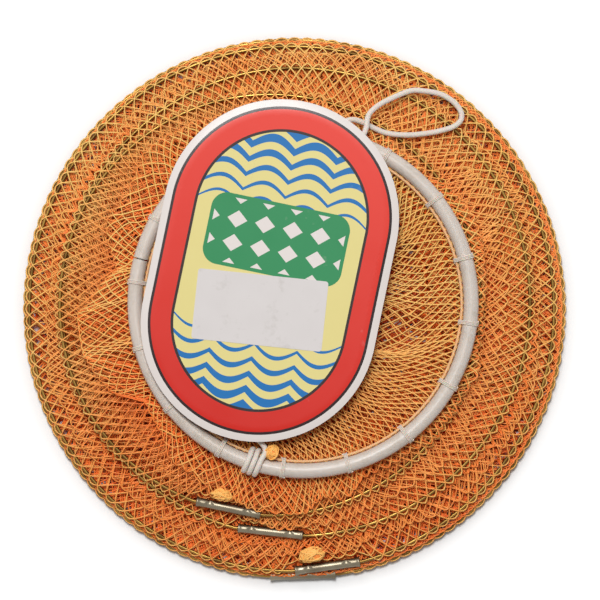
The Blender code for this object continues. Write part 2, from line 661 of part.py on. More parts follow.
def main():
    for obj in list(bpy.data.objects):
        bpy.data.objects.remove(obj)

    wire = finish("yellow_plated_wire", (176, 146, 84), 0.35, 1.0)
    sleeve = finish("nickel_sleeve", (150, 152, 140), 0.3, 1.0)
    netting = finish("orange_netting", (232, 138, 62), 0.6)
    plastic = finish("white_tube", (226, 222, 214), 0.35)
    plug_finish = finish("plug_plastic", (200, 200, 195), 0.5)
    twine = finish("white_twine", (235, 230, 220), 0.5)
    cord = finish("white_cord", (240, 235, 228), 0.6)
    print_finish = finish("printed_card", (228, 60, 45), 0.3)
    sticker_finish = finish("blank_sticker", (240, 238, 235), 0.4)

    frames = {
        hoop.name: frame_empty(f"{hoop.name}_frame", hoop.centre)
        for hoop in (BASE_HOOP, HOOP_3, HOOP_2, HOOP_1)
    }
    ring_frame = frame_empty("mouth_ring_frame", RING_CENTRE)
    card_frame = frame_empty("label_frame", CARD_CENTRE + Vector((0, 0, CARD_HEIGHT)))

    sleeve_mesh = ferrule_mesh()
    for hoop in (BASE_HOOP, HOOP_3, HOOP_2, HOOP_1):
        make_hoop(hoop, frames[hoop.name], wire, sleeve_mesh, sleeve)

    make_bottom(netting, frames["base_hoop"])
    make_hoop_tier("tier_4_net", BASE_HOOP, HOOP_3, TIER_4_FOLD_DEPTH, netting, frames["base_hoop"])
    make_hoop_tier("tier_3_net", HOOP_3, HOOP_2, TIER_3_FOLD_DEPTH, netting, frames["hoop_3"])
    make_hoop_tier("tier_2_net", HOOP_2, HOOP_1, TIER_2_FOLD_DEPTH, netting, frames["hoop_2"])
    make_throat(netting, frames["hoop_1"])

    make_ring(plastic, plug_finish, ring_frame)
    make_head_line(twine, ring_frame)
    make_ties(twine, ring_frame)
    make_handle(cord, ring_frame)
    make_seam_knots(netting, frames, ring_frame)
    make_label(print_finish, sticker_finish, card_frame)


main()
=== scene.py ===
"""Looks for a fishing keepnet, folded flat: netting, wire hoops, mouth ring, cord handle and label card."""

import logging
import math
import random
from dataclasses import dataclass
from enum import Enum
from functools import cached_property
from itertools import accumulate
from typing import Any, Callable, Sequence

import bmesh
import bpy
from mathutils import Matrix, Vector, noise

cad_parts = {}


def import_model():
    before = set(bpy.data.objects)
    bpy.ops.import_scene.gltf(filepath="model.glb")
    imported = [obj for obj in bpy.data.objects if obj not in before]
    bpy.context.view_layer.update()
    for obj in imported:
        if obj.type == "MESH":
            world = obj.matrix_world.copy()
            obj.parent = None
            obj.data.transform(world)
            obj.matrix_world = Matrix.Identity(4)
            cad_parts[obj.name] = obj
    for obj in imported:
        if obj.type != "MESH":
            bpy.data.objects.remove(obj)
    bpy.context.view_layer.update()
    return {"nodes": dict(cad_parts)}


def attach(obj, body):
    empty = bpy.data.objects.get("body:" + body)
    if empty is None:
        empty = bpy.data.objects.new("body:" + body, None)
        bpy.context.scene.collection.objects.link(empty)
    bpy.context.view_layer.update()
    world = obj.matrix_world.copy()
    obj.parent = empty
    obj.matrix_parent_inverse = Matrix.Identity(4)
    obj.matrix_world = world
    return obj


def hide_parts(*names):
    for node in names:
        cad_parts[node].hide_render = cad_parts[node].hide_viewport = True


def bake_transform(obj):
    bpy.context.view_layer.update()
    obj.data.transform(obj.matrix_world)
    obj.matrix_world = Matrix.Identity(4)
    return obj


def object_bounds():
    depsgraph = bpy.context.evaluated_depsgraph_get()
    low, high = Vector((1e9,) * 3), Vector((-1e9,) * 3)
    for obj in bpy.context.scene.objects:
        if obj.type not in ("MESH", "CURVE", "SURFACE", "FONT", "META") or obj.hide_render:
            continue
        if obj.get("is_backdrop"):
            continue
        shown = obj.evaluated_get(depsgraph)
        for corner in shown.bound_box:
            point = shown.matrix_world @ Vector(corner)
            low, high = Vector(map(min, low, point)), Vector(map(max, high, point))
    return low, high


log = logging.getLogger("keepnet")

MM = 0.001
WELD = 0.002 * MM
STRAND = 0.36 * MM  # radius of the netting's strands
SEED_LIFT = 3.7  # how far a seed of 1 moves the noise up, so that no two seeds share a slice of it
PAINTED_LIGHT = "painted_light"  # attribute of netting, painted light and shade: 1 where it lies on top and takes the lit colours, 0 down in the folds where it takes the painted shade colours

Socket = bpy.types.NodeSocket
Outputs = bpy.types.NodeOutputs
Material = bpy.types.Material
Mesh = bmesh.types.BMesh
Piece = bpy.types.Object
Colour = tuple[float, float, float]
Triple = tuple[float, float, float]
Pair = tuple[float, float]


class Slot(Enum):
    """The record's material slots."""

    WIRE = "wire"
    SLEEVE = "sleeve"
    NETTING = "netting"
    RING = "ring_plastic"
    PLUG = "plug_plastic"
    TWINE = "twine"
    CORD = "cord"
    CARD = "card"
    STICKER = "sticker"


# Small tools for numbers and places


def polar(radius: float, degrees: float, height: float = 0.0) -> Vector:
    """Point at a radius and an angle in degrees about the Z axis."""
    turn = math.radians(degrees)
    return Vector((radius * math.cos(turn), radius * math.sin(turn), height))


def turn_from(start: float, degrees: float) -> float:
    """The shorter turn, from -180 to 180 degrees, that leads from one angle to another."""
    return (degrees - start + 180) % 360 - 180


def between(first: float, second: float, share: float) -> float:
    """The value at a share of the way from one to another."""
    return first + (second - first) * share


def smoothstep(value: float, low: float, high: float) -> float:
    """Share, from 0 to 1, of the way from low to high, with soft ends."""
    share = min(1.0, max(0.0, (value - low) / (high - low)))
    return share * share * (3 - 2 * share)


def even_share(share: float) -> float:
    """The place whose smoothstep is the given share."""
    return 0.5 - math.sin(math.asin(1 - 2 * share) / 3)


def distances(points: Sequence[Vector]) -> list[float]:
    """How far along a route each of its points lies."""
    return list(accumulate(((b - a).length for a, b in zip(points, points[1:])), initial=0.0))


def smooth_route(points: Sequence[Vector], spacing: float) -> list[Vector]:
    """Evenly spaced points on a Catmull-Rom curve.

    Args:
        points: The points that the curve goes through.
        spacing: The wanted distance between the new points.

    Returns:
        The new points, from the first given point to the last.
    """
    padded = [2 * points[0] - points[1], *points, 2 * points[-1] - points[-2]]
    fine = []
    samples = 24
    for before, start, end, after in zip(padded, padded[1:], padded[2:], padded[3:]):
        for step in range(samples):
            t = step / samples
            bend = (2 * before - 5 * start + 4 * end - after) * t**2
            twist = (3 * start - before - 3 * end + after) * t**3
            fine.append(0.5 * (2 * start + (end - before) * t + bend + twist))
    fine.append(points[-1])
    lengths = distances(fine)
    count = round(lengths[-1] / spacing)
    route = []
    at = 0
    for number in range(count + 1):
        wanted = lengths[-1] * number / count
        while at < len(fine) - 2 and lengths[at + 1] < wanted:
            at += 1
        share = (wanted - lengths[at]) / (lengths[at + 1] - lengths[at])
        route.append(fine[at].lerp(fine[at + 1], min(1.0, share)))
    return route


def route_frames(points: Sequence[Vector], closed: bool) -> tuple[list[tuple[Vector, Vector]], float]:
    """Carries two directions square to a route along it, without a twist.

    Args:
        points: The route.
        closed: Whether the route's end joins its start.

    Returns:
        The two directions at each point, and the angle by which a closed route's last pair misses its first.
    """
    count = len(points)
    tangents = []
    for number in range(count):
        before = points[number - 1] if closed or number else points[0]
        after = points[(number + 1) % count] if closed or number < count - 1 else points[-1]
        tangents.append((after - before).normalized())
    side = tangents[0].orthogonal().normalized()
    frames = []
    for tangent in tangents:
        side = (side - tangent * side.dot(tangent)).normalized()
        frames.append((side.copy(), tangent.cross(side)))
    if not closed:
        return frames, 0.0
    last = (side - tangents[0] * side.dot(tangents[0])).normalized()
    return frames, math.atan2(last.dot(frames[0][1]), last.dot(frames[0][0]))


# Small tools for shapes


def add_unit_grid(bm: Mesh, columns: int, rows: int) -> list[bmesh.types.BMVert]:
    """Adds a grid one metre wide and high about the middle, and gives its vertices."""
    return bmesh.ops.create_grid(bm, x_segments=columns, y_segments=rows, size=0.5)["verts"]


def grid_step(place: float, steps: int) -> int:
    """The number of the unit grid's row or column that a place along one of its sides is on."""
    return round((place + 0.5) * steps)


def add_tube(bm: Mesh, points: Sequence[Vector], radius: float, sides: int, closed: bool = False) -> None:
    """Adds a round tube along a route to a bmesh, with a UV map as wide as the tube's girth.

    Args:
        bm: The bmesh to add to.
        points: The middle line of the tube.
        radius: The tube's radius.
        sides: How many sides its section has.
        closed: Whether the tube's end joins its start.
    """
    count = len(points)
    segments = count if closed else count - 1
    uv = bm.loops.layers.uv.verify()
    verts = add_unit_grid(bm, segments, sides)
    frames, slip = route_frames(points, closed)
    lengths = distances([*points, points[0]] if closed else points)
    girth = math.tau * radius
    faces = {face for vertex in verts for face in vertex.link_faces}
    for face in faces:
        for loop in face.loops:
            along = lengths[grid_step(loop.vert.co.x, segments)]
            loop[uv].uv = (loop.vert.co.y + 0.5, along / girth)
    for vertex in verts:
        station = grid_step(vertex.co.x, segments)
        turn = (vertex.co.y + 0.5) * math.tau - slip * station / segments
        side, up = frames[station % count]
        vertex.co = points[station % count] + (side * math.cos(turn) + up * math.sin(turn)) * radius
    bmesh.ops.remove_doubles(bm, verts=verts, dist=WELD)
    if not closed:
        rims = [edge for face in faces if face.is_valid for edge in face.edges if edge.is_boundary]
        bmesh.ops.holes_fill(bm, edges=list(set(rims)), sides=sides)


def new_tube(points: Sequence[Vector], radius: float, sides: int, closed: bool = False) -> Mesh:
    """A new bmesh with one round tube along a route.

    Args:
        points: The middle line of the tube.
        radius: The tube's radius.
        sides: How many sides its section has.
        closed: Whether the tube's end joins its start.

    Returns:
        The bmesh.
    """
    bm = bmesh.new()
    add_tube(bm, points, radius, sides, closed)
    return bm


def spun(profile: Sequence[Pair], steps: int) -> Mesh:
    """A closed profile spun once round the X axis.

    Args:
        profile: The profile's corners, each a place along X and a radius.
        steps: How many sides the shape has.

    Returns:
        A new bmesh with the shape.
    """
    bm = bmesh.new()
    verts = [bm.verts.new((x, 0, radius)) for x, radius in profile]
    edges = [bm.edges.new(pair) for pair in zip(verts, verts[1:] + verts[:1])]
    geom = verts + edges
    bmesh.ops.spin(bm, geom=geom, cent=(0, 0, 0), axis=(1, 0, 0), angle=math.tau, steps=steps, use_merge=True)
    bmesh.ops.remove_doubles(bm, verts=bm.verts[:], dist=WELD)
    return bm


def inset(bm: Mesh, faces: list[bmesh.types.BMFace], width: float) -> None:
    """Insets faces by an even width, at the sheet's own edge too."""
    bmesh.ops.inset_region(bm, faces=faces, thickness=width, use_even_offset=True, use_boundary=True)


def bevel(bm: Mesh, geom: Sequence[Any], affect: str, offset: float, segments: int) -> None:
    """Rounds edges or corners.

    Args:
        bm: The bmesh that holds them.
        geom: The edges or the corners.
        affect: EDGES or VERTICES, as the operator calls them.
        offset: How much is taken off.
        segments: How many steps the rounding has.
    """
    bmesh.ops.bevel(
        bm, geom=geom, affect=affect, offset=offset, segments=segments, profile=0.5, material=-1
    )


def thicken(bm: Mesh, height: float) -> None:
    """Raises a flat sheet into a plate.

    Args:
        bm: The bmesh that holds the sheet alone.
        height: The plate's thickness.
    """
    made = bmesh.ops.extrude_face_region(bm, geom=bm.faces[:])
    top = [item for item in made["geom"] if isinstance(item, bmesh.types.BMVert)]
    bmesh.ops.translate(bm, verts=top, vec=(0, 0, height))


def carry(bm: Mesh, turn: float, place: Vector) -> None:
    """Turns a bmesh about Z by degrees and then moves it to its place."""
    bmesh.ops.rotate(bm, verts=bm.verts[:], matrix=Matrix.Rotation(math.radians(turn), 3, "Z"))
    bmesh.ops.translate(bm, verts=bm.verts[:], vec=place)


def link(name: str, data: Any) -> bpy.types.Object:
    """Puts a mesh, a lamp or a camera in the scene.

    Args:
        name: The new object's name.
        data: What it shows.

    Returns:
        The new object.
    """
    made = bpy.data.objects.new(name, data)
    bpy.context.scene.collection.objects.link(made)
    return made


def finish_piece(
    bm: Mesh, name: str, material: Material, slot: Slot, body: str | None, *nodes: str, sharp: float = 50.0
) -> Piece:
    """Makes an object from a bmesh and ties it to the frame.

    Args:
        bm: The finished bmesh, with its place in its points.
        name: The piece's name.
        material: Its material.
        slot: The record's slot that the material belongs to; not used.
        body: The body that it rides on, or None for a piece that rides on no body.
        nodes: The CAD nodes that it stands for.
        sharp: The angle, in degrees, past which an edge is hard.

    Returns:
        The new object.
    """
    bmesh.ops.recalc_face_normals(bm, faces=bm.faces[:])
    mesh = bpy.data.meshes.new(name)
    bm.to_mesh(mesh)
    bm.free()
    mesh.shade_smooth()
    mesh.set_sharp_from_angle(angle=math.radians(sharp))
    mesh.materials.append(material)
    piece = link(name, mesh)
    if body:
        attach(piece, body)
    if nodes:
        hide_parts(*nodes)
    log.info("%s: %d faces", name, len(mesh.polygons))
    return piece


# Small tools for materials


def linear(colour: Colour) -> tuple[float, float, float, float]:
    """Linear colour of an sRGB one, by the curve that the sRGB standard gives.

    Args:
        colour: The colour, with channels from 0 to 255.

    Returns:
        The linear colour and a full alpha.
    """
    shares = (channel / 255 for channel in colour)
    values = (s / 12.92 if s <= 0.04045 else ((s + 0.055) / 1.055) ** 2.4 for s in shares)
    return (*values, 1.0)


class Wiring:
    """Short calls to add and join the nodes of one tree."""

    def __init__(self, tree: bpy.types.NodeTree) -> None:
        """Starts on a tree."""
        self.tree = tree

    def feed(self, socket: Socket, value: Any) -> None:
        """Joins a socket to an input, or sets the input to a plain value.

        Args:
            socket: The input.
            value: The socket or the plain value that it gets.
        """
        if isinstance(value, bpy.types.NodeSocket):
            self.tree.links.new(value, socket)
        else:
            socket.default_value = value

    def node(self, kind: str, inputs: dict[str | int, Any] | None = None, **options: Any) -> bpy.types.Node:
        """Adds a node.

        Args:
            kind: The node's type.
            inputs: What each named or numbered input gets.
            options: The node's own settings.

        Returns:
            The node.
        """
        node = self.tree.nodes.new(kind)
        for name, value in options.items():
            setattr(node, name, value)
        for name, value in (inputs or {}).items():
            self.feed(node.inputs[name], value)
        return node

    def calc(self, operation: str, *values: Any) -> Socket:
        """The result of a Math node."""
        return self.node("ShaderNodeMath", dict(enumerate(values)), operation=operation).outputs[0]

    def unsigned(self, value: Any) -> Socket:
        """A value without its sign."""
        return self.calc("ABSOLUTE", value)

    def times(self, first: Any, second: Any) -> Socket:
        """The product of two values."""
        return self.calc("MULTIPLY", first, second)

    def span(
        self, value: Socket, low: float, high: float, to_low: float = 0.0, to_high: float = 1.0
    ) -> Socket:
        """A value carried from one range to another, and held at its ends."""
        inputs = {"Value": value, "From Min": low, "From Max": high, "To Min": to_low, "To Max": to_high}
        return self.node("ShaderNodeMapRange", inputs).outputs["Result"]

    def grade(self, share: Socket, first: float, second: float) -> Socket:
        """A plain value that a share, from 0 to 1, carries from one to another."""
        return self.span(share, 0.0, 1.0, first, second)

    def mix(self, share: Any, first: Any, second: Any) -> Socket:
        """A colour between two others."""
        return self.node("ShaderNodeMix", {0: share, 6: first, 7: second}, data_type="RGBA").outputs[2]

    def noise(self, vector: Socket, scale: Any, detail: float = 3.0, rough: float = 0.55) -> Socket:
        """The value of a Noise Texture node."""
        inputs = {"Vector": vector, "Scale": scale, "Detail": detail, "Roughness": rough}
        return self.node("ShaderNodeTexNoise", inputs).outputs["Fac"]

    def group(self, tree: bpy.types.NodeTree, inputs: dict[str, Any]) -> Outputs:
        """The outputs of a placed node group with its own values."""
        return self.node("ShaderNodeGroup", inputs, node_tree=tree).outputs


class Recipe(Wiring):
    """One material and its Principled surface."""

    def __init__(self, name: str) -> None:
        """Makes the material.

        Args:
            name: The material's name.
        """
        self.material = bpy.data.materials.new(name)
        self.material.use_nodes = True
        super().__init__(self.material.node_tree)
        self.surface = self.tree.nodes["Principled BSDF"]

    def place(self, output: str = "Object") -> Socket:
        """The piece's Object or UV coordinates."""
        return self.node("ShaderNodeTexCoord").outputs[output]

    def map_places(self) -> tuple[Socket, Socket]:
        """The two coordinates of the piece's UV map."""
        split = self.node("ShaderNodeSeparateXYZ", {0: self.place("UV")}).outputs
        return split[0], split[1]

    def relief(self, height: Socket, strength: float, distance: float) -> None:
        """Joins a height to the surface's normal through a Bump node."""
        inputs = {"Height": height, "Strength": strength, "Distance": distance}
        self.set(Normal=self.node("ShaderNodeBump", inputs).outputs["Normal"])

    def set(self, **values: Any) -> None:
        """Feeds inputs of the surface, with _ for each space in their names."""
        for name, value in values.items():
            self.feed(self.surface.inputs[name.replace("_", " ")], value)


def effect(name: str, inputs: dict[str, float | None], outputs: Sequence[str]) -> tuple[Wiring, Any, Any]:
    """Starts a shared node group.

    Args:
        name: The group's name.
        inputs: Each input's name and plain value, or None for a vector.
        outputs: The names of the values that it puts out.

    Returns:
        The group's wiring, its inputs and its outputs.
    """
    tree = bpy.data.node_groups.new(name, "ShaderNodeTree")
    for title, value in inputs.items():
        kind = "NodeSocketVector" if value is None else "NodeSocketFloat"
        socket = tree.interface.new_socket(title, in_out="INPUT", socket_type=kind)
        if value is not None:
            socket.default_value = value
    for title in outputs:
        tree.interface.new_socket(title, in_out="OUTPUT", socket_type="NodeSocketFloat")
    wiring = Wiring(tree)
    start = wiring.node("NodeGroupInput")
    end = wiring.node("NodeGroupOutput")
    return wiring, start.outputs, end.inputs


class Effects:
    """The shared effects that several materials use, each a node group that is built once."""

    def __init__(self) -> None:
        """Builds the groups."""
        self._fibre = self._make_fibre()
        self._grain = self._make_grain()
        self._wear = self._make_wear()

    def fibre(self, recipe: Recipe, scale: float) -> Outputs:
        """The height and tone of spun yarn in a material."""
        return recipe.group(self._fibre, {"Vector": recipe.place(), "Scale": scale})

    def grain(self, recipe: Recipe, scale: float) -> Outputs:
        """The height and tone of a fine grain in a material."""
        return recipe.group(self._grain, {"Vector": recipe.place(), "Scale": scale})

    def wear(self, recipe: Recipe, scale: float, amount: float) -> Socket:
        """The mask of worn or marked patches in a material."""
        inputs = {"Vector": recipe.place(), "Scale": scale, "Amount": amount}
        return recipe.group(self._wear, inputs)["Mask"]

    def _make_fibre(self) -> bpy.types.NodeTree:
        """Spun yarn: fine filaments in soft clumps.

        Returns:
            The group.
        """
        wiring, start, end = effect("spun_fibre", {"Vector": None, "Scale": 2500.0}, ("Height", "Tone"))
        clump_scale = wiring.times(start["Scale"], 0.24)
        fine = wiring.noise(start["Vector"], start["Scale"], detail=2.0, rough=0.6)
        clump = wiring.noise(start["Vector"], clump_scale, detail=2.0, rough=0.5)
        wiring.feed(end["Height"], wiring.calc("MULTIPLY_ADD", clump, 0.6, fine))
        wiring.feed(end["Tone"], wiring.span(wiring.calc("ADD", fine, clump), 0.7, 1.3))
        return wiring.tree

    def _make_grain(self) -> bpy.types.NodeTree:
        """Fine surface grain over a slow unevenness.

        Returns:
            The group.
        """
        wiring, start, end = effect("surface_grain", {"Vector": None, "Scale": 900.0}, ("Height", "Tone"))
        slow_scale = wiring.times(start["Scale"], 0.05)
        fine = wiring.noise(start["Vector"], start["Scale"], detail=3.0, rough=0.6)
        slow = wiring.noise(start["Vector"], slow_scale, detail=2.0, rough=0.5)
        wiring.feed(end["Height"], wiring.calc("MULTIPLY_ADD", slow, 2.0, fine))
        wiring.feed(end["Tone"], wiring.span(slow, 0.3, 0.7))
        return wiring.tree

    def _make_wear(self) -> bpy.types.NodeTree:
        """Patches and thin scuffs, as a mask.

        Returns:
            The group.
        """
        inputs = {"Vector": None, "Scale": 120.0, "Amount": 0.4}
        wiring, start, end = effect("wear", inputs, ("Mask",))
        scuff_scale = wiring.times(start["Scale"], 6.0)
        patch = wiring.noise(start["Vector"], start["Scale"], detail=4.0, rough=0.65)
        scuff = wiring.noise(start["Vector"], scuff_scale, detail=2.0, rough=0.5)
        both = wiring.calc("MULTIPLY_ADD", scuff, 0.35, patch)
        limit = wiring.calc("SUBTRACT", 1.05, wiring.times(start["Amount"], 0.6))
        past = wiring.times(wiring.calc("SUBTRACT", both, limit), 6.0)
        wiring.feed(end["Mask"], wiring.calc("MINIMUM", wiring.calc("MAXIMUM", past, 0.0), 1.0))
        return wiring.tree


# Finishes


@dataclass(frozen=True)
class NetTwine:
    """Thin dyed nylon strands, fuzzy and uneven in colour, with painted light where they lie on top and
    painted shade down in the folds.
    """

    name: str = "orange_net_twine"
    # Painted light and shade: the lit colours for netting on top, and darker colours for netting down in the
    # folds
    painted_light: tuple[Colour, Colour] = ((255, 186, 90), (255, 214, 126))
    painted_shade: tuple[Colour, Colour] = ((248, 94, 14), (255, 124, 30))
    roughness: Pair = (0.55, 0.35)  # in the yarn's clefts and on its filaments
    fibre_scale: float = 3200.0
    patch_scale: float = 45.0
    patch_span: Pair = (0.35, 0.65)
    specular: float = 0.35
    sheen: Colour = (255, 190, 130)
    sheen_weight: float = 0.25
    sheen_roughness: float = 0.45
    relief: Pair = (0.4, 0.1 * MM)  # strength and distance

    def build(self, effects: Effects) -> Material:
        """Makes the material.

        Args:
            effects: The shared effects.

        Returns:
            The material.
        """
        recipe = Recipe(self.name)
        fibre = effects.fibre(recipe, self.fibre_scale)
        patch = recipe.span(recipe.noise(recipe.place(), self.patch_scale), *self.patch_span)
        share = recipe.calc("MULTIPLY_ADD", fibre["Tone"], 0.5, recipe.times(patch, 0.5))
        # The painted light attribute picks between the painted shade colours and the lit ones
        painted_light = recipe.node("ShaderNodeAttribute", attribute_name=PAINTED_LIGHT).outputs["Fac"]
        pair = [recipe.mix(share, linear(first), linear(second)) for first, second in (self.painted_shade, self.painted_light)]
        recipe.set(
            Base_Color=recipe.mix(painted_light, *pair),
            Roughness=recipe.grade(fibre["Tone"], *self.roughness),
            Specular_IOR_Level=self.specular,
            Sheen_Weight=self.sheen_weight,
            Sheen_Roughness=self.sheen_roughness,
            Sheen_Tint=linear(self.sheen),
        )
        recipe.relief(fibre["Height"], *self.relief)
        return recipe.material


@dataclass(frozen=True)
class PlatedMetal:
    """Plated metal with a slightly cloudy colour and rubbed patches."""

    name: str
    bright: Colour
    dull: Colour
    rubbed: Colour
    roughness: Pair = (0.42, 0.24)  # where it is dull and where it is bright
    grain_scale: float = 1400.0
    rub_scale: float = 160.0
    rub_amount: float = 0.35
    relief: Pair = (0.12, 0.02 * MM)

    def build(self, effects: Effects) -> Material:
        """Makes the material.

        Args:
            effects: The shared effects.

        Returns:
            The material.
        """
        recipe = Recipe(self.name)
        grain = effects.grain(recipe, self.grain_scale)
        cloud = recipe.mix(grain["Tone"], linear(self.dull), linear(self.bright))
        rubs = effects.wear(recipe, self.rub_scale, self.rub_amount)
        recipe.set(
            Base_Color=recipe.mix(rubs, cloud, linear(self.rubbed)),
            Metallic=1.0,
            Roughness=recipe.grade(grain["Tone"], *self.roughness),
        )
        recipe.relief(grain["Height"], *self.relief)
        return recipe.material


@dataclass(frozen=True)
class TubePlastic:
    """White plastic tube, slightly milky, with handling marks."""

    name: str = "milky_tube"
    clean: Colour = (211, 200, 190)
    handled: Colour = (190, 178, 163)
    roughness: Pair = (0.3, 0.42)
    grain_scale: float = 700.0
    mark_scale: float = 90.0
    mark_amount: float = 0.62
    mark_share: float = 0.55
    milk: float = 0.35  # weight of the light that goes in and comes out again
    milk_radius: Triple = (1.0, 0.8, 0.65)
    milk_depth: float = 1.2 * MM
    relief: Pair = (0.12, 0.08 * MM)

    def build(self, effects: Effects) -> Material:
        """Makes the material.

        Args:
            effects: The shared effects.

        Returns:
            The material.
        """
        recipe = Recipe(self.name)
        grain = effects.grain(recipe, self.grain_scale)
        marks = recipe.times(effects.wear(recipe, self.mark_scale, self.mark_amount), self.mark_share)
        recipe.set(
            Base_Color=recipe.mix(marks, linear(self.clean), linear(self.handled)),
            Roughness=recipe.grade(grain["Tone"], *self.roughness),
            Subsurface_Weight=self.milk,
            Subsurface_Radius=self.milk_radius,
            Subsurface_Scale=self.milk_depth,
        )
        recipe.relief(grain["Height"], *self.relief)
        return recipe.material


@dataclass(frozen=True)
class Yarn:
    """White yarn, laid or braided along a piece's own UV map, with painted shade in the clefts between its
    plies.
    """

    name: str
    clean: Colour
    # painted shade colour, for the clefts between the plies
    shade: Colour
    plies: float
    roughness: Pair  # in the yarn's clefts and on its filaments
    lay_depth: float
    braided: bool = False
    under_ply: float = 0.9  # height of the plies that pass under the others in a braid
    fibre_scale: float = 4200.0
    fibre_height: float = 0.18
    fibre_tone: float = 0.3
    sheen_weight: float = 0.2
    soft: float = 0.2  # weight of the light that goes in and comes out again
    soft_depth: float = 0.6 * MM
    relief: float = 0.5

    def _lay(self, recipe: Recipe, place: Socket) -> Socket:
        """The rounded backs of plies that follow each other along a slanting place."""
        return recipe.unsigned(recipe.calc("SINE", recipe.times(place, 0.5)))

    def build(self, effects: Effects) -> Material:
        """Makes the material.

        Args:
            effects: The shared effects.

        Returns:
            The material.
        """
        recipe = Recipe(self.name)
        around, along = (recipe.times(value, self.plies * math.tau) for value in recipe.map_places())
        lay = self._lay(recipe, recipe.calc("ADD", around, along))
        if self.braided:
            other = self._lay(recipe, recipe.calc("SUBTRACT", around, along))
            lay = recipe.calc("MAXIMUM", recipe.times(lay, self.under_ply), other)
        fibre = effects.fibre(recipe, self.fibre_scale)
        height = recipe.calc("MULTIPLY_ADD", fibre["Height"], self.fibre_height, lay)
        # Painted shade: the clefts between the plies take the shade colour, the plies' backs the clean one
        ply_shading = recipe.times(lay, 1 - self.fibre_tone)
        tone = recipe.calc("MULTIPLY_ADD", fibre["Tone"], self.fibre_tone, ply_shading)
        recipe.set(
            Base_Color=recipe.mix(tone, linear(self.shade), linear(self.clean)),
            Roughness=recipe.grade(fibre["Tone"], *self.roughness),
            Sheen_Weight=self.sheen_weight,
            Subsurface_Weight=self.soft,
            Subsurface_Scale=self.soft_depth,
        )
        recipe.relief(height, self.relief, self.lay_depth)
        return recipe.material


@dataclass(frozen=True)
class PlainStock:
    """Plain moulded plastic or paper in one colour, with its grain and soft dirt."""

    name: str
    clean: Colour
    dirty: Colour
    roughness: Pair = (0.44, 0.56)
    grain_scale: float = 1500.0
    dirt_scale: float = 70.0
    dirt_amount: float = 0.5
    relief: Pair = (0.2, 0.04 * MM)

    def build(self, effects: Effects) -> Material:
        """Makes the material.

        Args:
            effects: The shared effects.

        Returns:
            The material.
        """
        recipe = Recipe(self.name)
        grain = effects.grain(recipe, self.grain_scale)
        dirt = effects.wear(recipe, self.dirt_scale, self.dirt_amount)
        recipe.set(
            Base_Color=recipe.mix(dirt, linear(self.clean), linear(self.dirty)),
            Roughness=recipe.grade(grain["Tone"], *self.roughness),
        )
        recipe.relief(grain["Height"], *self.relief)
        return recipe.material


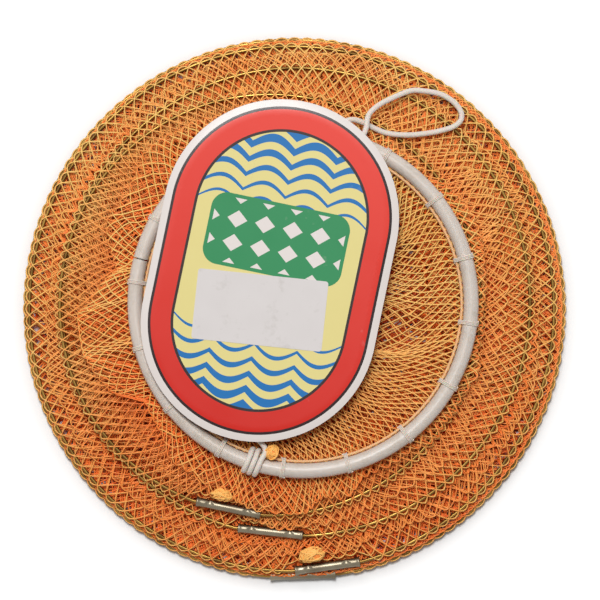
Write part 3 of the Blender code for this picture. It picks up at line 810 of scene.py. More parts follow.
@dataclass(frozen=True)
class PrintedCard:
    """Glossy card printed in bands, with rows of waves, a plain lattice panel and a painted glare that pales
    its red towards one end.

    The piece's UV map holds the card's own plan, as shares of its length about the middle. The printing's
    sizes are millimetres.
    """

    width: float  # of the card, in metres
    length: float
    name: str = "printed_card"
    white: Colour = (227, 218, 213)
    line: Colour = (30, 8, 8)
    red: Colour = (204, 26, 8)
    # painted glare: the red band's colour at the card's +Y end
    glare_red: Colour = (230, 60, 44)
    cream: Colour = (226, 212, 138)
    blue: Colour = (0, 108, 176)
    green: Colour = (34, 134, 80)
    edge: float = 3.1
    rule: float = 1.2
    band: float = 8.8
    red_reach: float = 75.0  # from the card's middle to where the red, and at the other end the painted glare red, is pure
    wave_pitch: float = 19.0
    wave_height: float = 2.2
    row_pitch: float = 6.4
    first_row: float = 3.7  # rows left out beside the middle
    row_share: Pair = (0.12, 0.62)  # of each row, filled near the middle and near the card's ends
    row_reach: Pair = (26.0, 62.0)
    panel: tuple[float, float, float, float] = (0.0, 14.0, 31.0, 16.0)  # its middle and half its sides
    panel_corner: float = 7.0
    panel_rim: float = 1.6
    lozenge: Pair = (12.4, 10.6)  # pitch across and up
    lozenge_share: float = 0.36
    roughness: Pair = (0.3, 0.42)
    grain_scale: float = 1200.0
    rub_scale: float = 60.0
    rub_amount: float = 0.35
    rub_share: float = 0.2
    specular: float = 0.25
    gloss: float = 0.1  # weight of the clear coat
    gloss_roughness: float = 0.15
    relief: Pair = (0.1, 0.05 * MM)

    def _plan(self, recipe: Recipe) -> tuple[Socket, Socket]:
        """The card's own plan.

        Args:
            recipe: The material.

        Returns:
            Places across and along the card, in millimetres from its middle.
        """
        scale = self.length / MM
        x, y = (recipe.times(recipe.calc("SUBTRACT", value, 0.5), scale) for value in recipe.map_places())
        return x, y

    def _waves(self, recipe: Recipe, x: Socket, y: Socket) -> Socket:
        """Rows of waves, thicker towards both ends of the card.

        Args:
            recipe: The material.
            x: Place across the card.
            y: Place along the card.

        Returns:
            The mask of the waves.
        """
        swing = recipe.unsigned(recipe.calc("SINE", recipe.times(x, math.pi / self.wave_pitch)))
        level = recipe.calc("MULTIPLY_ADD", swing, -2 * self.wave_height, recipe.unsigned(y))
        row = recipe.calc("FRACT", recipe.calc("DIVIDE", level, self.row_pitch))
        thick = recipe.span(recipe.unsigned(y), *self.row_reach, *self.row_share)
        inside = recipe.calc("LESS_THAN", row, thick)
        return recipe.times(inside, recipe.calc("GREATER_THAN", level, self.first_row * self.row_pitch))

    def _corner_distance(self, recipe: Recipe, places: Sequence[Socket], half: Pair, corner: float) -> Socket:
        """Signed distance to a rectangle with round corners.

        Args:
            recipe: The material.
            places: Places across and along the card, from the rectangle's middle.
            half: Half of the rectangle's width and of its length.
            corner: The radius of its corners.

        Returns:
            The distance, which is below 0 inside.
        """
        parts = []
        for value, reach in zip(places, half):
            past = recipe.calc("SUBTRACT", recipe.unsigned(value), reach - corner)
            parts.append(recipe.calc("POWER", recipe.calc("MAXIMUM", past, 0.0), 2.0))
        return recipe.calc("SUBTRACT", recipe.calc("SQRT", recipe.calc("ADD", *parts)), corner)

    def _panel(self, recipe: Recipe, x: Socket, y: Socket, under: Socket) -> Socket:
        """The field with a green panel of white lozenges on it.

        Args:
            recipe: The material.
            x: Place across the card.
            y: Place along the card.
            under: The field's colour without the panel.

        Returns:
            The field's colour.
        """
        middle_x, middle_y, half_x, half_y = self.panel
        places = (recipe.calc("SUBTRACT", x, middle_x), recipe.calc("SUBTRACT", y, middle_y))
        distance = self._corner_distance(recipe, places, (half_x, half_y), self.panel_corner)
        parts = []
        for value, pitch in zip(places, self.lozenge):
            place = recipe.calc("FRACT", recipe.calc("DIVIDE", value, pitch))
            parts.append(recipe.unsigned(recipe.calc("SUBTRACT", place, 0.5)))
        lozenge = recipe.calc("LESS_THAN", recipe.calc("ADD", *parts), self.lozenge_share)
        filled = recipe.mix(lozenge, linear(self.green), linear(self.white))
        rim = recipe.calc("GREATER_THAN", distance, -self.panel_rim)
        rimmed = recipe.mix(rim, filled, linear(self.green))
        return recipe.mix(recipe.calc("LESS_THAN", distance, 0.0), under, rimmed)

    def build(self, effects: Effects) -> Material:
        """Makes the material.

        Args:
            effects: The shared effects.

        Returns:
            The material.
        """
        recipe = Recipe(self.name)
        x, y = self._plan(recipe)
        half = (self.width / 2 / MM, self.length / 2 / MM)
        depth = recipe.times(self._corner_distance(recipe, (x, y), half, half[0]), -1.0)
        field = recipe.mix(self._waves(recipe, x, y), linear(self.cream), linear(self.blue))
        colour = self._panel(recipe, x, y, field)
        # Painted glare: the border's red pales along the card towards its +Y end
        along = recipe.span(y, -self.red_reach, self.red_reach)
        border = self.edge + self.rule + self.band
        for limit, paint in (
            (border + self.rule, linear(self.line)),
            (border, recipe.mix(along, linear(self.red), linear(self.glare_red))),
            (self.edge + self.rule, linear(self.line)),
            (self.edge, linear(self.white)),
        ):
            colour = recipe.mix(recipe.calc("LESS_THAN", depth, limit), colour, paint)
        grain = effects.grain(recipe, self.grain_scale)
        rubs = recipe.times(effects.wear(recipe, self.rub_scale, self.rub_amount), self.rub_share)
        recipe.set(
            Base_Color=recipe.mix(rubs, colour, linear(self.white)),
            Roughness=recipe.grade(grain["Tone"], *self.roughness),
            Specular_IOR_Level=self.specular,
            Coat_Weight=self.gloss,
            Coat_Roughness=self.gloss_roughness,
        )
        recipe.relief(grain["Height"], *self.relief)
        return recipe.material


class Finishes:
    """Every material of the keepnet, made once."""

    TIE_TWINE = Yarn("tie_twine", (229, 217, 204), (212, 199, 184), 2.0, (0.55, 0.35), 0.02 * MM)
    LINE_TWINE = Yarn("head_line_twine", (240, 200, 150), (226, 150, 84), 3.0, (0.65, 0.45), 0.1 * MM)
    BRAID = Yarn("braided_cord", (228, 218, 208), (210, 197, 185), 5.0, (0.7, 0.5), 0.06 * MM, braided=True)
    WIRE = PlatedMetal("yellow_plated_wire", (156, 122, 62), (92, 68, 34), (146, 120, 82))
    SLEEVE = PlatedMetal("nickel_sleeve", (140, 132, 114), (96, 86, 70), (164, 156, 142), (0.46, 0.28))
    PLUG = PlainStock("plug_plastic", (204, 204, 198), (176, 170, 158))
    STICKER = PlainStock("blank_sticker", (212, 206, 204), (198, 192, 188), grain_scale=2200.0)

    def __init__(self, card_width: float, card_length: float) -> None:
        """Builds the shared effects and then the materials.

        Args:
            card_width: The label card's width.
            card_length: The label card's length.
        """
        effects = Effects()
        self.net = NetTwine().build(effects)
        self.wire = self.WIRE.build(effects)
        self.sleeve = self.SLEEVE.build(effects)
        self.tube = TubePlastic().build(effects)
        self.plug = self.PLUG.build(effects)
        self.twine = self.TIE_TWINE.build(effects)
        self.line = self.LINE_TWINE.build(effects)
        self.cord = self.BRAID.build(effects)
        self.card = PrintedCard(card_width, card_length).build(effects)
        self.sticker = self.STICKER.build(effects)


# The wire hoops


@dataclass(frozen=True)
class Rim:
    """A wire hoop, or the head line, that an edge of netting hangs on."""

    name: str
    centre: Vector
    radius: float
    overhang: float  # from the wire's middle out to the netting's outermost knots
    sleeve_angle: float | None = None
    sleeve_half: float = 0.0  # degrees
    sleeve_inside: float = 0.0  # from the hoop's middle to the near side of its sleeve
    draw_in: float = 3.0  # degrees beside the sleeve in which the netting draws in

    def drawn_in(self, degrees: float) -> float:
        """How far the netting's edge is drawn in beside the sleeve.

        Args:
            degrees: The angle round the rim.

        Returns:
            0 where the edge hangs on the wire, up to 1 where it passes inside the sleeve.
        """
        if self.sleeve_angle is None:
            return 0.0
        away = abs(turn_from(self.sleeve_angle, degrees))
        return 1 - smoothstep(away, self.sleeve_half, self.sleeve_half + self.draw_in)


@dataclass(frozen=True)
class HoopStack:
    """The four wire hoops of the folded heap, each closed by a crimped sleeve."""

    finishes: Finishes
    wire: float = 0.8 * MM  # radius
    wire_sides: int = 12
    wire_steps: int = 160
    end_gap: float = 1.0 * MM  # between the wire's ends, inside the sleeve
    kink: float = 1.5 * MM  # length beside the sleeve in which the wire bends
    sleeve_length: float = 29.0 * MM
    sleeve: float = 2.0 * MM  # radius
    sleeve_sides: int = 36
    sleeve_steps: int = 74
    sleeve_sharp: float = 65.0
    flare: float = 2.3 * MM
    flare_length: float = 1.8 * MM
    lip: float = 0.25 * MM  # rounding of the flared mouth
    bore: float = 1.12 * MM
    crimp_inset: float = 6.0 * MM
    crimp_half: float = 2.2 * MM
    crimp_depth: float = 0.5 * MM
    crimp_taper: float = 0.9  # how much narrower the dent is at the sleeve's sides
    crimp_edge: float = 0.45  # share of the dent that slopes
    crimp_collar: float = 0.25  # share of the dent's depth that runs all round the sleeve
    # Name, body, middle, radius, overhang of the netting and the sleeve's angle, in millimetres and degrees
    places: tuple[tuple[str, str, Triple, float, float, float], ...] = (
        ("base_hoop", "base", (0.0, 0.0, 2.3), 119.2, 1.0, -88.2),
        ("hoop_3", "hoop_3", (-1.3, 0.0, 6.1), 116.2, 1.5, -82.1),
        ("hoop_2", "hoop_2", (0.7, 3.0, 9.9), 103.5, 2.2, -96.4),
        ("hoop_1", "hoop_1", (-10.8, 1.7, 13.7), 92.9, 2.2, -101.6),
    )

    @cached_property
    def rims(self) -> dict[str, Rim]:
        """Each hoop as the rim that netting hangs on, by its name.

        Returns:
            The rims.
        """
        rims = {}
        for name, _, centre, radius, overhang, angle in self.places:
            half = math.degrees(math.asin((self.sleeve_length / 2 + self.kink) / (radius * MM)))
            inside = radius * MM * math.cos(math.radians(half)) - self.flare
            rims[name] = Rim(name, Vector(centre) * MM, radius * MM, overhang * MM, angle, half, inside)
        return rims

    def build(self) -> None:
        """Makes all hoops and sleeves."""
        for name, body, *_ in self.places:
            self._hoop(self.rims[name], body)
            self._sleeve(self.rims[name], body)

    def _sleeve_middle(self, rim: Rim) -> Vector:
        """The middle of a hoop's sleeve, from the middle of the hoop."""
        return polar(rim.sleeve_inside + self.flare, rim.sleeve_angle)

    def _hoop(self, rim: Rim, body: str) -> None:
        """Makes the wire, whose ends run straight into the sleeve.

        Args:
            rim: The hoop's place and sizes.
            body: The body that it rides on.
        """
        middle = self._sleeve_middle(rim)
        end = polar(1, rim.sleeve_angle + 90) * self.end_gap / 2
        start = rim.sleeve_angle + rim.sleeve_half
        sweep = 360 - 2 * rim.sleeve_half
        turns = (start + sweep * step / self.wire_steps for step in range(self.wire_steps + 1))
        points = [middle + end, *(polar(rim.radius, turn) for turn in turns), middle - end]
        bm = new_tube([rim.centre + point for point in points], self.wire, self.wire_sides)
        finish_piece(bm, f"{rim.name}_wire", self.finishes.wire, Slot.WIRE, body, rim.name)

    def _dent(self, x: float, turn: float) -> float:
        """How deep the crimping tool's lozenge dent is at a place on the sleeve.

        Args:
            x: Place along the sleeve, from its middle.
            turn: Angle round the sleeve, in radians.

        Returns:
            The depth.
        """
        away = abs(abs(x) - (self.sleeve_length / 2 - self.crimp_inset)) / self.crimp_half
        lozenge = max(0.0, 1 - away - abs(math.sin(turn)) * self.crimp_taper)
        collar = self.crimp_collar * max(0.0, 1 - away)
        return self.crimp_depth * (smoothstep(lozenge, 0.0, self.crimp_edge) + collar)

    def _sleeve(self, rim: Rim, body: str) -> None:
        """Makes the straight sleeve, flared at both mouths and dented near each of them.

        Args:
            rim: The hoop's place and sizes.
            body: The body that it rides on.
        """
        end = self.sleeve_length / 2
        outer = []
        for step in range(1, self.sleeve_steps):
            x = end * (2 * step / self.sleeve_steps - 1)
            flared = smoothstep(abs(x), end - self.flare_length, end - self.lip)
            outer.append((x, between(self.sleeve, self.flare, flared)))
        mouth = self.flare - self.lip
        profile = [(-end, mouth), *outer, (end, mouth), (end, self.bore), (-end, self.bore)]
        bm = spun(profile, self.sleeve_sides)
        for vertex in bm.verts:
            reach = math.hypot(vertex.co.y, vertex.co.z)
            if reach > (self.bore + self.sleeve) / 2:
                turn = math.atan2(vertex.co.y, vertex.co.z)
                vertex.co.yz *= 1 - self._dent(vertex.co.x, turn) / reach
        carry(bm, rim.sleeve_angle + 90, rim.centre + self._sleeve_middle(rim))
        name, node = f"{rim.name}_sleeve", f"{rim.name}_ferrule"
        finish_piece(bm, name, self.finishes.sleeve, Slot.SLEEVE, body, node, sharp=self.sleeve_sharp)


# The mouth ring and what is wound on it


@dataclass(frozen=True)
class Winding:
    """Thread or cord wound round the ring's tube and the head line."""

    thread: float  # radius
    turns: float
    pitch: float  # how far it steps along the ring in a turn
    start: float  # degrees from outwards towards up
    steps: int  # points in a turn
    sides: int
    sense: int = 1  # 1 or -1, the way that it goes round


@dataclass(frozen=True)
class MouthRing:
    """The plastic mouth ring, its head line and the twine that ties them together."""

    finishes: Finishes
    centre: Vector = Vector((3.8 * MM, 2.7 * MM, 21.369 * MM))
    radius: float = 74.05 * MM
    tube: float = 3.3 * MM  # radius
    wall: float = 0.9 * MM
    sides: int = 24
    steps: int = 176
    butt_angle: float = 165.0
    butt_gap: float = 0.6 * MM
    line: float = 0.6 * MM  # radius
    line_sides: int = 8
    line_steps: int = 256
    line_offset: float = 4.2 * MM  # from the tube's middle in to the head line's
    line_overhang: float = 0.5 * MM
    tie: Winding = Winding(0.3 * MM, 3.5, 0.62 * MM, 200.0, 22, 8)
    tie_count: int = 16
    tie_first: float = -97.0
    slack: float = 0.03 * MM  # between a winding and what it is wound on

    @cached_property
    def head_line(self) -> Rim:
        """The head line, as the rim that the top tier's netting hangs on."""
        return Rim("head_line", self.centre, self.radius - self.line_offset, self.line_overhang)

    def build(self) -> None:
        """Makes the ring and everything tied to it."""
        self._tube()
        self._head_line()
        for number in range(self.tie_count):
            self._tie(number)

    def _tube(self) -> None:
        """Makes the bent tube, with its bore and the small gap where its ends meet."""
        gap = math.degrees(self.butt_gap / self.radius)
        bm = bmesh.new()
        bmesh.ops.create_circle(bm, cap_ends=True, segments=self.sides, radius=self.tube)
        inset(bm, bm.faces[:], self.wall)
        core = [face for face in bm.faces if len(face.verts) == self.sides]
        bmesh.ops.delete(bm, geom=core, context="FACES_ONLY")
        for vertex in bm.verts:
            vertex.co = polar(self.radius + vertex.co.x, self.butt_angle + gap / 2, vertex.co.y)
        geom = bm.verts[:] + bm.edges[:] + bm.faces[:]
        sweep = math.radians(360 - gap)
        bmesh.ops.spin(bm, geom=geom, cent=(0, 0, 0), axis=(0, 0, 1), angle=sweep, steps=self.steps)
        bmesh.ops.translate(bm, verts=bm.verts[:], vec=self.centre)
        finish_piece(bm, "mouth_ring_tube", self.finishes.tube, Slot.RING, "mouth_ring", "mouth_ring")

    def _head_line(self) -> None:
        """Makes the line through the net's top row, inside the ring."""
        turns = (360 * step / self.line_steps for step in range(self.line_steps))
        points = [self.centre + polar(self.head_line.radius, turn) for turn in turns]
        bm = new_tube(points, self.line, self.line_sides, closed=True)
        finish_piece(bm, "head_line_cord", self.finishes.line, Slot.TWINE, "mouth_ring", "head_line")

    def wound(self, winding: Winding, degrees: float) -> list[Vector]:
        """The middle line of a winding round the ring's tube and the head line.

        Args:
            winding: The winding's sizes.
            degrees: Its place round the ring.

        Returns:
            The points, from the winding's start.
        """
        limit = -(self.tube - self.line) / self.line_offset
        count = round(winding.turns * winding.steps)
        place = self.centre + polar(self.radius, degrees)
        turned = Matrix.Rotation(math.radians(degrees), 3, "Z")
        points = []
        for number in range(count + 1):
            normal = math.radians(winding.start + winding.sense * 360 * winding.turns * number / count)
            on_line = math.cos(normal) < limit
            reach = (self.line if on_line else self.tube) + winding.thread + self.slack
            x = reach * math.cos(normal) - (self.line_offset if on_line else 0)
            shift = winding.sense * winding.pitch * winding.turns * (number / count - 0.5)
            points.append(place + turned @ Vector((x, shift, reach * math.sin(normal))))
        return points

    def _tie(self, number: int) -> None:
        """Makes one winding of twine.

        Args:
            number: Which winding it is, counted from 0.
        """
        points = self.wound(self.tie, self.tie_first + 360 * number / self.tie_count)
        bm = new_tube(points, self.tie.thread, self.tie.sides)
        name = f"net_tie_{number + 1:02d}"
        finish_piece(bm, f"{name}_twine", self.finishes.twine, Slot.TWINE, "mouth_ring", name)


@dataclass(frozen=True)
class Handle:
    """The limp cord handle, wound on the ring at two opposite points."""

    finishes: Finishes
    ring: MouthRing
    cord: float = 1.2 * MM  # radius
    cord_sides: int = 14
    near_angle: float = 252.6
    far_angle: float = 72.6
    lead: float = 6.0 * MM
    turns: float = 2.25
    pitch: float = 2.6 * MM
    start: float = 20.0  # degrees from straight up towards outwards
    knot_steps: int = 28
    spacing: float = 1.0 * MM
    # From the far knot to the near one: x, y and the height over the ring's middle, in millimetres
    route: tuple[Triple, ...] = (
        (32.6, 85.2, 0.4), (36.9, 89.6, -2.2), (44.4, 93.6, -5.4), (51.5, 96.3, -7.5), (57.2, 96.2, -8.5),
        (64.3, 94.9, -9.2), (70.1, 91.6, -9.7), (73.6, 87.0, -9.7), (73.4, 83.2, -9.1), (70.0, 80.4, -8.4),
        (65.0, 78.8, -8.0), (60.8, 77.9, -7.6), (53.3, 76.9, -6.4), (46.2, 76.8, -4.7), (40.0, 77.7, -3.9),
        (34.8, 79.8, -2.8), (30.0, 82.2, -1.1), (25.0, 83.3, 1.0), (20.3, 81.2, 3.3), (17.3, 77.0, 4.9),
        (14.8, 71.5, 4.1), (9.0, 64.5, 2.0), (-2.0, 57.5, -0.1), (-18.0, 48.0, -1.4), (-32.0, 34.0, -2.4),
        (-40.0, 15.0, -3.1), (-42.0, -5.0, -3.1), (-38.0, -25.0, -2.1), (-31.0, -42.0, -0.3),
        (-22.0, -52.0, 1.1), (-16.4, -57.0, 1.9),
    )

    def _knot(self, name: str, degrees: float, sense: int) -> tuple[Piece, Vector, Vector]:
        """Makes one winding of the cord.

        Args:
            name: The CAD node that it stands for.
            degrees: Its place round the ring.
            sense: The way that it goes round, 1 or -1.

        Returns:
            The piece, the point where the free cord meets it and the direction out along that cord.
        """
        start = 90 - sense * self.start
        winding = Winding(self.cord, self.turns, self.pitch, start, self.knot_steps, self.cord_sides, sense)
        points = self.ring.wound(winding, degrees)
        bm = new_tube(points, self.cord, self.cord_sides)
        piece = finish_piece(bm, f"{name}_cord", self.finishes.cord, Slot.CORD, "mouth_ring", name)
        return piece, points[0], (points[0] - points[1]).normalized()

    def build(self) -> None:
        """Makes both knots and the free cord between them."""
        far, far_end, far_way = self._knot("handle_knot_far", self.far_angle, 1)
        near, near_end, near_way = self._knot("handle_knot_near", self.near_angle, -1)
        height = self.ring.centre.z
        route = [Vector((x * MM, y * MM, z * MM + height)) for x, y, z in self.route]
        through = [far_end, far_end + far_way * self.lead, *route, near_end + near_way * self.lead, near_end]
        points = smooth_route(through, self.spacing)
        bm = new_tube(points, self.cord, self.cord_sides)
        name, node = "handle_cord_braid", "handle_cord"
        piece = finish_piece(bm, name, self.finishes.cord, Slot.CORD, "mouth_ring", node)


# The netting


@dataclass(frozen=True)
class Ripple:
    """Smooth noise, round the net and along a second direction, that makes the netting lie unevenly."""

    amount: float
    pace: float  # how quickly it changes round the net
    rate: float  # how quickly it changes along the second direction
    seed: float  # offset that gives each ripple its own noise

    def at(self, degrees: float, along: float, seed: float = 0.0) -> float:
        """The ripple's push at a place.

        Args:
            degrees: The angle round the net.
            along: The place along the second direction.
            seed: A further offset, for the piece of netting.

        Returns:
            The push, at most the ripple's amount either way.
        """
        turn = math.radians(degrees)
        shift = seed + self.seed
        lift = along * self.rate + SEED_LIFT * shift
        place = Vector((math.cos(turn) * self.pace + shift, math.sin(turn) * self.pace - shift, lift))
        return self.amount * noise.noise(place)


def rippled(ripples: Sequence[Ripple], degrees: float, along: float, seed: float = 0.0) -> float:
    """The push of several ripples together."""
    return sum(ripple.at(degrees, along, seed) for ripple in ripples)


def strand_lines(around: int, half_rows: int, place: Callable[[float, int], tuple[Vector, float]]) -> Mesh:
    """The middle lines of a round net's strands, which slant both ways and cross at its knots.

    Args:
        around: How many diamond meshes one row has.
        half_rows: How many half rows of meshes there are.
        place: Gives a knot's place, and its painted light, from its angle in degrees and its half row.

    Returns:
        The bmesh, which holds edges alone. The strands join at the net's two rims.
    """
    bm = bmesh.new()
    painted_light = bm.verts.layers.float.new(PAINTED_LIGHT)
    rims = []
    for lean in (1, -1):
        verts = add_unit_grid(bm, around - 1, half_rows)
        rows = {vertex: grid_step(vertex.co.y, half_rows) for vertex in verts}
        edges = {edge for vertex in verts for edge in vertex.link_edges}
        level = [edge for edge in edges if rows[edge.verts[0]] == rows[edge.verts[1]]]
        bmesh.ops.delete(bm, geom=level, context="EDGES_FACES")
        for vertex, row in rows.items():
            column = grid_step(vertex.co.x, around - 1) + lean * row / 2
            vertex.co, vertex[painted_light] = place(360 * (column % around) / around, row)
        rims += [vertex for vertex, row in rows.items() if row in (0, half_rows)]
    bmesh.ops.remove_doubles(bm, verts=rims, dist=WELD)
    return bm


def find_leg(stops: Sequence[float], share: float) -> tuple[int, float]:
    """Finds a place on a way that runs to and fro between stops.

    Args:
        stops: Where the way starts, where it turns and where it ends.
        share: How much of its whole length lies before the place.

    Returns:
        The number of the leg that the place is on, and how far along that leg it is, from 0 to 1.
    """
    spans = [abs(second - first) for first, second in zip(stops, stops[1:])]
    left = share * sum(spans)
    leg = 0
    while leg < len(spans) - 1 and left > spans[leg]:
        left -= spans[leg]
        leg += 1
    return leg, min(1.0, left / spans[leg])


@dataclass(frozen=True)
class Lobe:
    """A stretch of a fold that bulges outwards between two dents, with its meshes pushed together."""

    stop: int  # the fold, counted from the lower rim
    degrees: float
    half_width: float  # degrees
    out: float
    squeeze: float

    def push(self, degrees: float) -> Pair:
        """How far the lobe pushes the netting at an angle.

        Args:
            degrees: The angle round the net.

        Returns:
            The push outwards and the push round the net.
        """
        share = turn_from(self.degrees, degrees) / self.half_width
        if abs(share) >= 1:
            return 0.0, 0.0
        return self.out * math.cos(1.5 * math.pi * share), -self.squeeze * math.sin(math.pi * share)


@dataclass(frozen=True)
class Tier:
    """A tier of netting as it lies folded, to and fro, between its lower rim and its upper one."""

    name: str
    bodies: tuple[str, str]
    lower: Rim
    upper: Rim
    folds: tuple[Triple, ...]  # millimetres: radius, and X and Y of its middle
    painted_light_legs: tuple[Pair, ...]  # painted light of each leg between rims and folds, at its start and its end: 1 where it lies on top, 0 where it takes the painted shade
    blend: Pair  # heights between which the netting stretches
    wander: float  # how far a fold's edge strays in and out
    pleat: float  # how far the netting is pushed together or pulled apart round the net
    turn: float  # degrees by which each fold is turned
    seed: float
    lobe: Lobe | None = None


@dataclass(frozen=True)
class NetBag:
    """The knotless netting: four tiers and the bottom."""

    finishes: Finishes
    hoops: HoopStack
    ring: MouthRing
    around: int = 132
    tier_rows: int = 25
    bottom_rows: int = 50
    strand_sides: int = 3
    tier_bends: int = 2  # steps of a strand's curve from knot to knot
    bottom_bends: int = 1
    mesh_width: float = 5.67 * MM  # of one mesh, with the netting laid out flat
    half_row: float = 3.0 * MM
    tier_area: float = 0.044  # square metres of twine in a tier
    bottom_area: float = 0.087
    tip_gap: float = 0.3 * MM  # from a sleeve in to the netting's outermost knots
    edge_gap: float = 1.6 * MM  # from a sleeve in to the knots of the next half row
    fold_stride: float = 2.3  # how far the noise moves on from one fold to the next
    wander: tuple[Ripple, ...] = (Ripple(1.6, 2.0, 1.0, 0.0), Ripple(0.9, 6.0, 1.0, 5.0))
    pleats: tuple[Ripple, ...] = (Ripple(1.4, 1.4, 0.5, 13.0), Ripple(0.9, 4.2, 0.6, 17.0))
    knot_wander: Ripple = Ripple(0.5 * MM, 24.0, 40.0, 9.0)
    knot_slide: Ripple = Ripple(0.8 * MM, 22.0, 34.0, 21.0)
    tied_share: float = 0.15  # of a tier beside each rim, where the rim still holds the netting
    dim_side_light: float = 0.6  # share of the netting's painted light kept on the net's -Y side, which is painted darker as painted shade
    dim_side: Pair = (-100.0 * MM, 30.0 * MM)  # places along Y between which the painted light grows full
    # Millimetres: radius and height of the bottom's folds
    bottom_way: tuple[Pair, ...] = (
        (118.2, 1.0), (96.0, 0.4), (120.0, 0.4), (46.0, 0.6),
        (84.0, 0.9), (8.0, 1.2), (66.0, 1.5), (1.0, 1.8),
    )
    bottom_tied_share: float = 0.12
    bottom_core: Pair = (8.0 * MM, 40.0 * MM)  # radii between which the gathered middle loosens
    bottom_wander: float = 3.5 * MM
    bottom_wanders: tuple[Ripple, ...] = (Ripple(1.0, 3.0, 4.0, 31.0), Ripple(0.6, 14.0, 20.0, 37.0))
    bottom_slide: float = 8.0 * MM
    bottom_slides: tuple[Ripple, ...] = (Ripple(1.0, 2.0, 3.0, 41.0), Ripple(0.6, 12.0, 18.0, 43.0))

    @cached_property
    def tiers(self) -> tuple[Tier, ...]:
        """The four tiers between their rims, from the lowest.

        Returns:
            The tiers.
        """
        base, third, second, first = (self.hoops.rims[name] for name, *_ in self.hoops.places)
        return (
            Tier(
                "tier_4_net", ("base", "hoop_3"), base, third,
                folds=((93.0, -0.7, 0), (121.0, 0, 0), (93.0, -0.7, 0), (120.5, 0, 0), (92.0, -0.7, 0)),
                painted_light_legs=((1, 0.3), (0, 0.3), (0.3, 0), (0, 0.4), (0.4, 0), (0.2, 1)),
                blend=(3.4 * MM, 5.0 * MM), wander=1.0 * MM, pleat=7.0 * MM, turn=1.2, seed=1.3,
            ),
            Tier(
                "tier_3_net", ("hoop_3", "hoop_2"), third, second,
                folds=(
                    (83.0, -0.3, 1.5), (112.0, -0.3, 1.0), (83.0, -0.3, 1.5), (105.0, -0.3, 1.5),
                    (81.0, -0.3, 1.5),
                ),
                painted_light_legs=((1, 0.3), (0, 0.6), (0.8, 0), (0, 0.3), (0.3, 0), (0, 1)),
                blend=(7.2 * MM, 8.8 * MM), wander=3.5 * MM, pleat=9.0 * MM, turn=-1.4, seed=4.1,
            ),
            Tier(
                "tier_2_net", ("hoop_2", "hoop_1"), second, first,
                folds=((58.0, -2.0, 2.5), (97.0, -1.5, 2.5), (62.0, -3.0, 2.3)),
                painted_light_legs=((1, 0), (0, 0.7), (0.8, 0), (0, 1)),
                blend=(11.0 * MM, 12.6 * MM), wander=4.0 * MM, pleat=11.0 * MM, turn=1.8, seed=7.7,
            ),
            Tier(
                "tier_1_net", ("hoop_1", "mouth_ring"), first, self.ring.head_line,
                folds=((68.0, -3.5, 2.2), (89.0, -3.5, 1.5), (34.0, -6.0, 2.2)),
                painted_light_legs=((0.7, 0), (0, 0.3), (1, 0.7), (0.9, 1)),
                blend=(14.8 * MM, 20.5 * MM), wander=5.5 * MM, pleat=11.0 * MM, turn=-2.2, seed=11.9,
                lobe=Lobe(stop=2, degrees=195.0, half_width=44.0, out=9.0 * MM, squeeze=11.0 * MM),
            ),
        )

    def build(self) -> None:
        """Makes all of the netting."""
        for tier in self.tiers:
            self._tier(tier)
        self._bottom()

    def _stray(self, tier: Tier, degrees: float, stop: int) -> Pair:
        """How far the edge of a fold strays at an angle.

        Args:
            tier: The tier that the fold is in.
            degrees: The angle round the net.
            stop: The fold, counted from the lower rim, which is 0. The rims don't stray.

        Returns:
            How far it strays outwards and round the net.
        """
        if not 0 < stop <= len(tier.folds):
            return 0.0, 0.0
        along = self.fold_stride * stop
        out = tier.wander * rippled(self.wander, degrees, along, tier.seed)
        slide = tier.pleat * rippled(self.pleats, degrees, along, tier.seed)
        if tier.lobe and tier.lobe.stop == stop:
            lobe_out, lobe_slide = tier.lobe.push(degrees)
            return out + lobe_out, slide + lobe_slide
        return out, slide

    def _edge(self, rim: Rim, degrees: float, tip: bool) -> float:
        """How far from a rim's middle the netting's edge lies.

        Args:
            rim: The rim that it hangs on.
            degrees: The angle round the rim.
            tip: Whether the knot is one outside the wire, and not one of the next half row.

        Returns:
            The knot's distance from the rim's middle.
        """
        outside = rim.radius + (rim.overhang if tip else 0.0)
        inside = rim.sleeve_inside - (self.tip_gap if tip else self.edge_gap)
        return between(outside, inside, rim.drawn_in(degrees))

    def _tip(self, rim: Rim, degrees: float) -> tuple[Vector, float]:
        """The place and the painted light of an outermost knot on a rim, which takes the lit colours."""
        return rim.centre + polar(self._edge(rim, degrees, True), degrees), 1.0

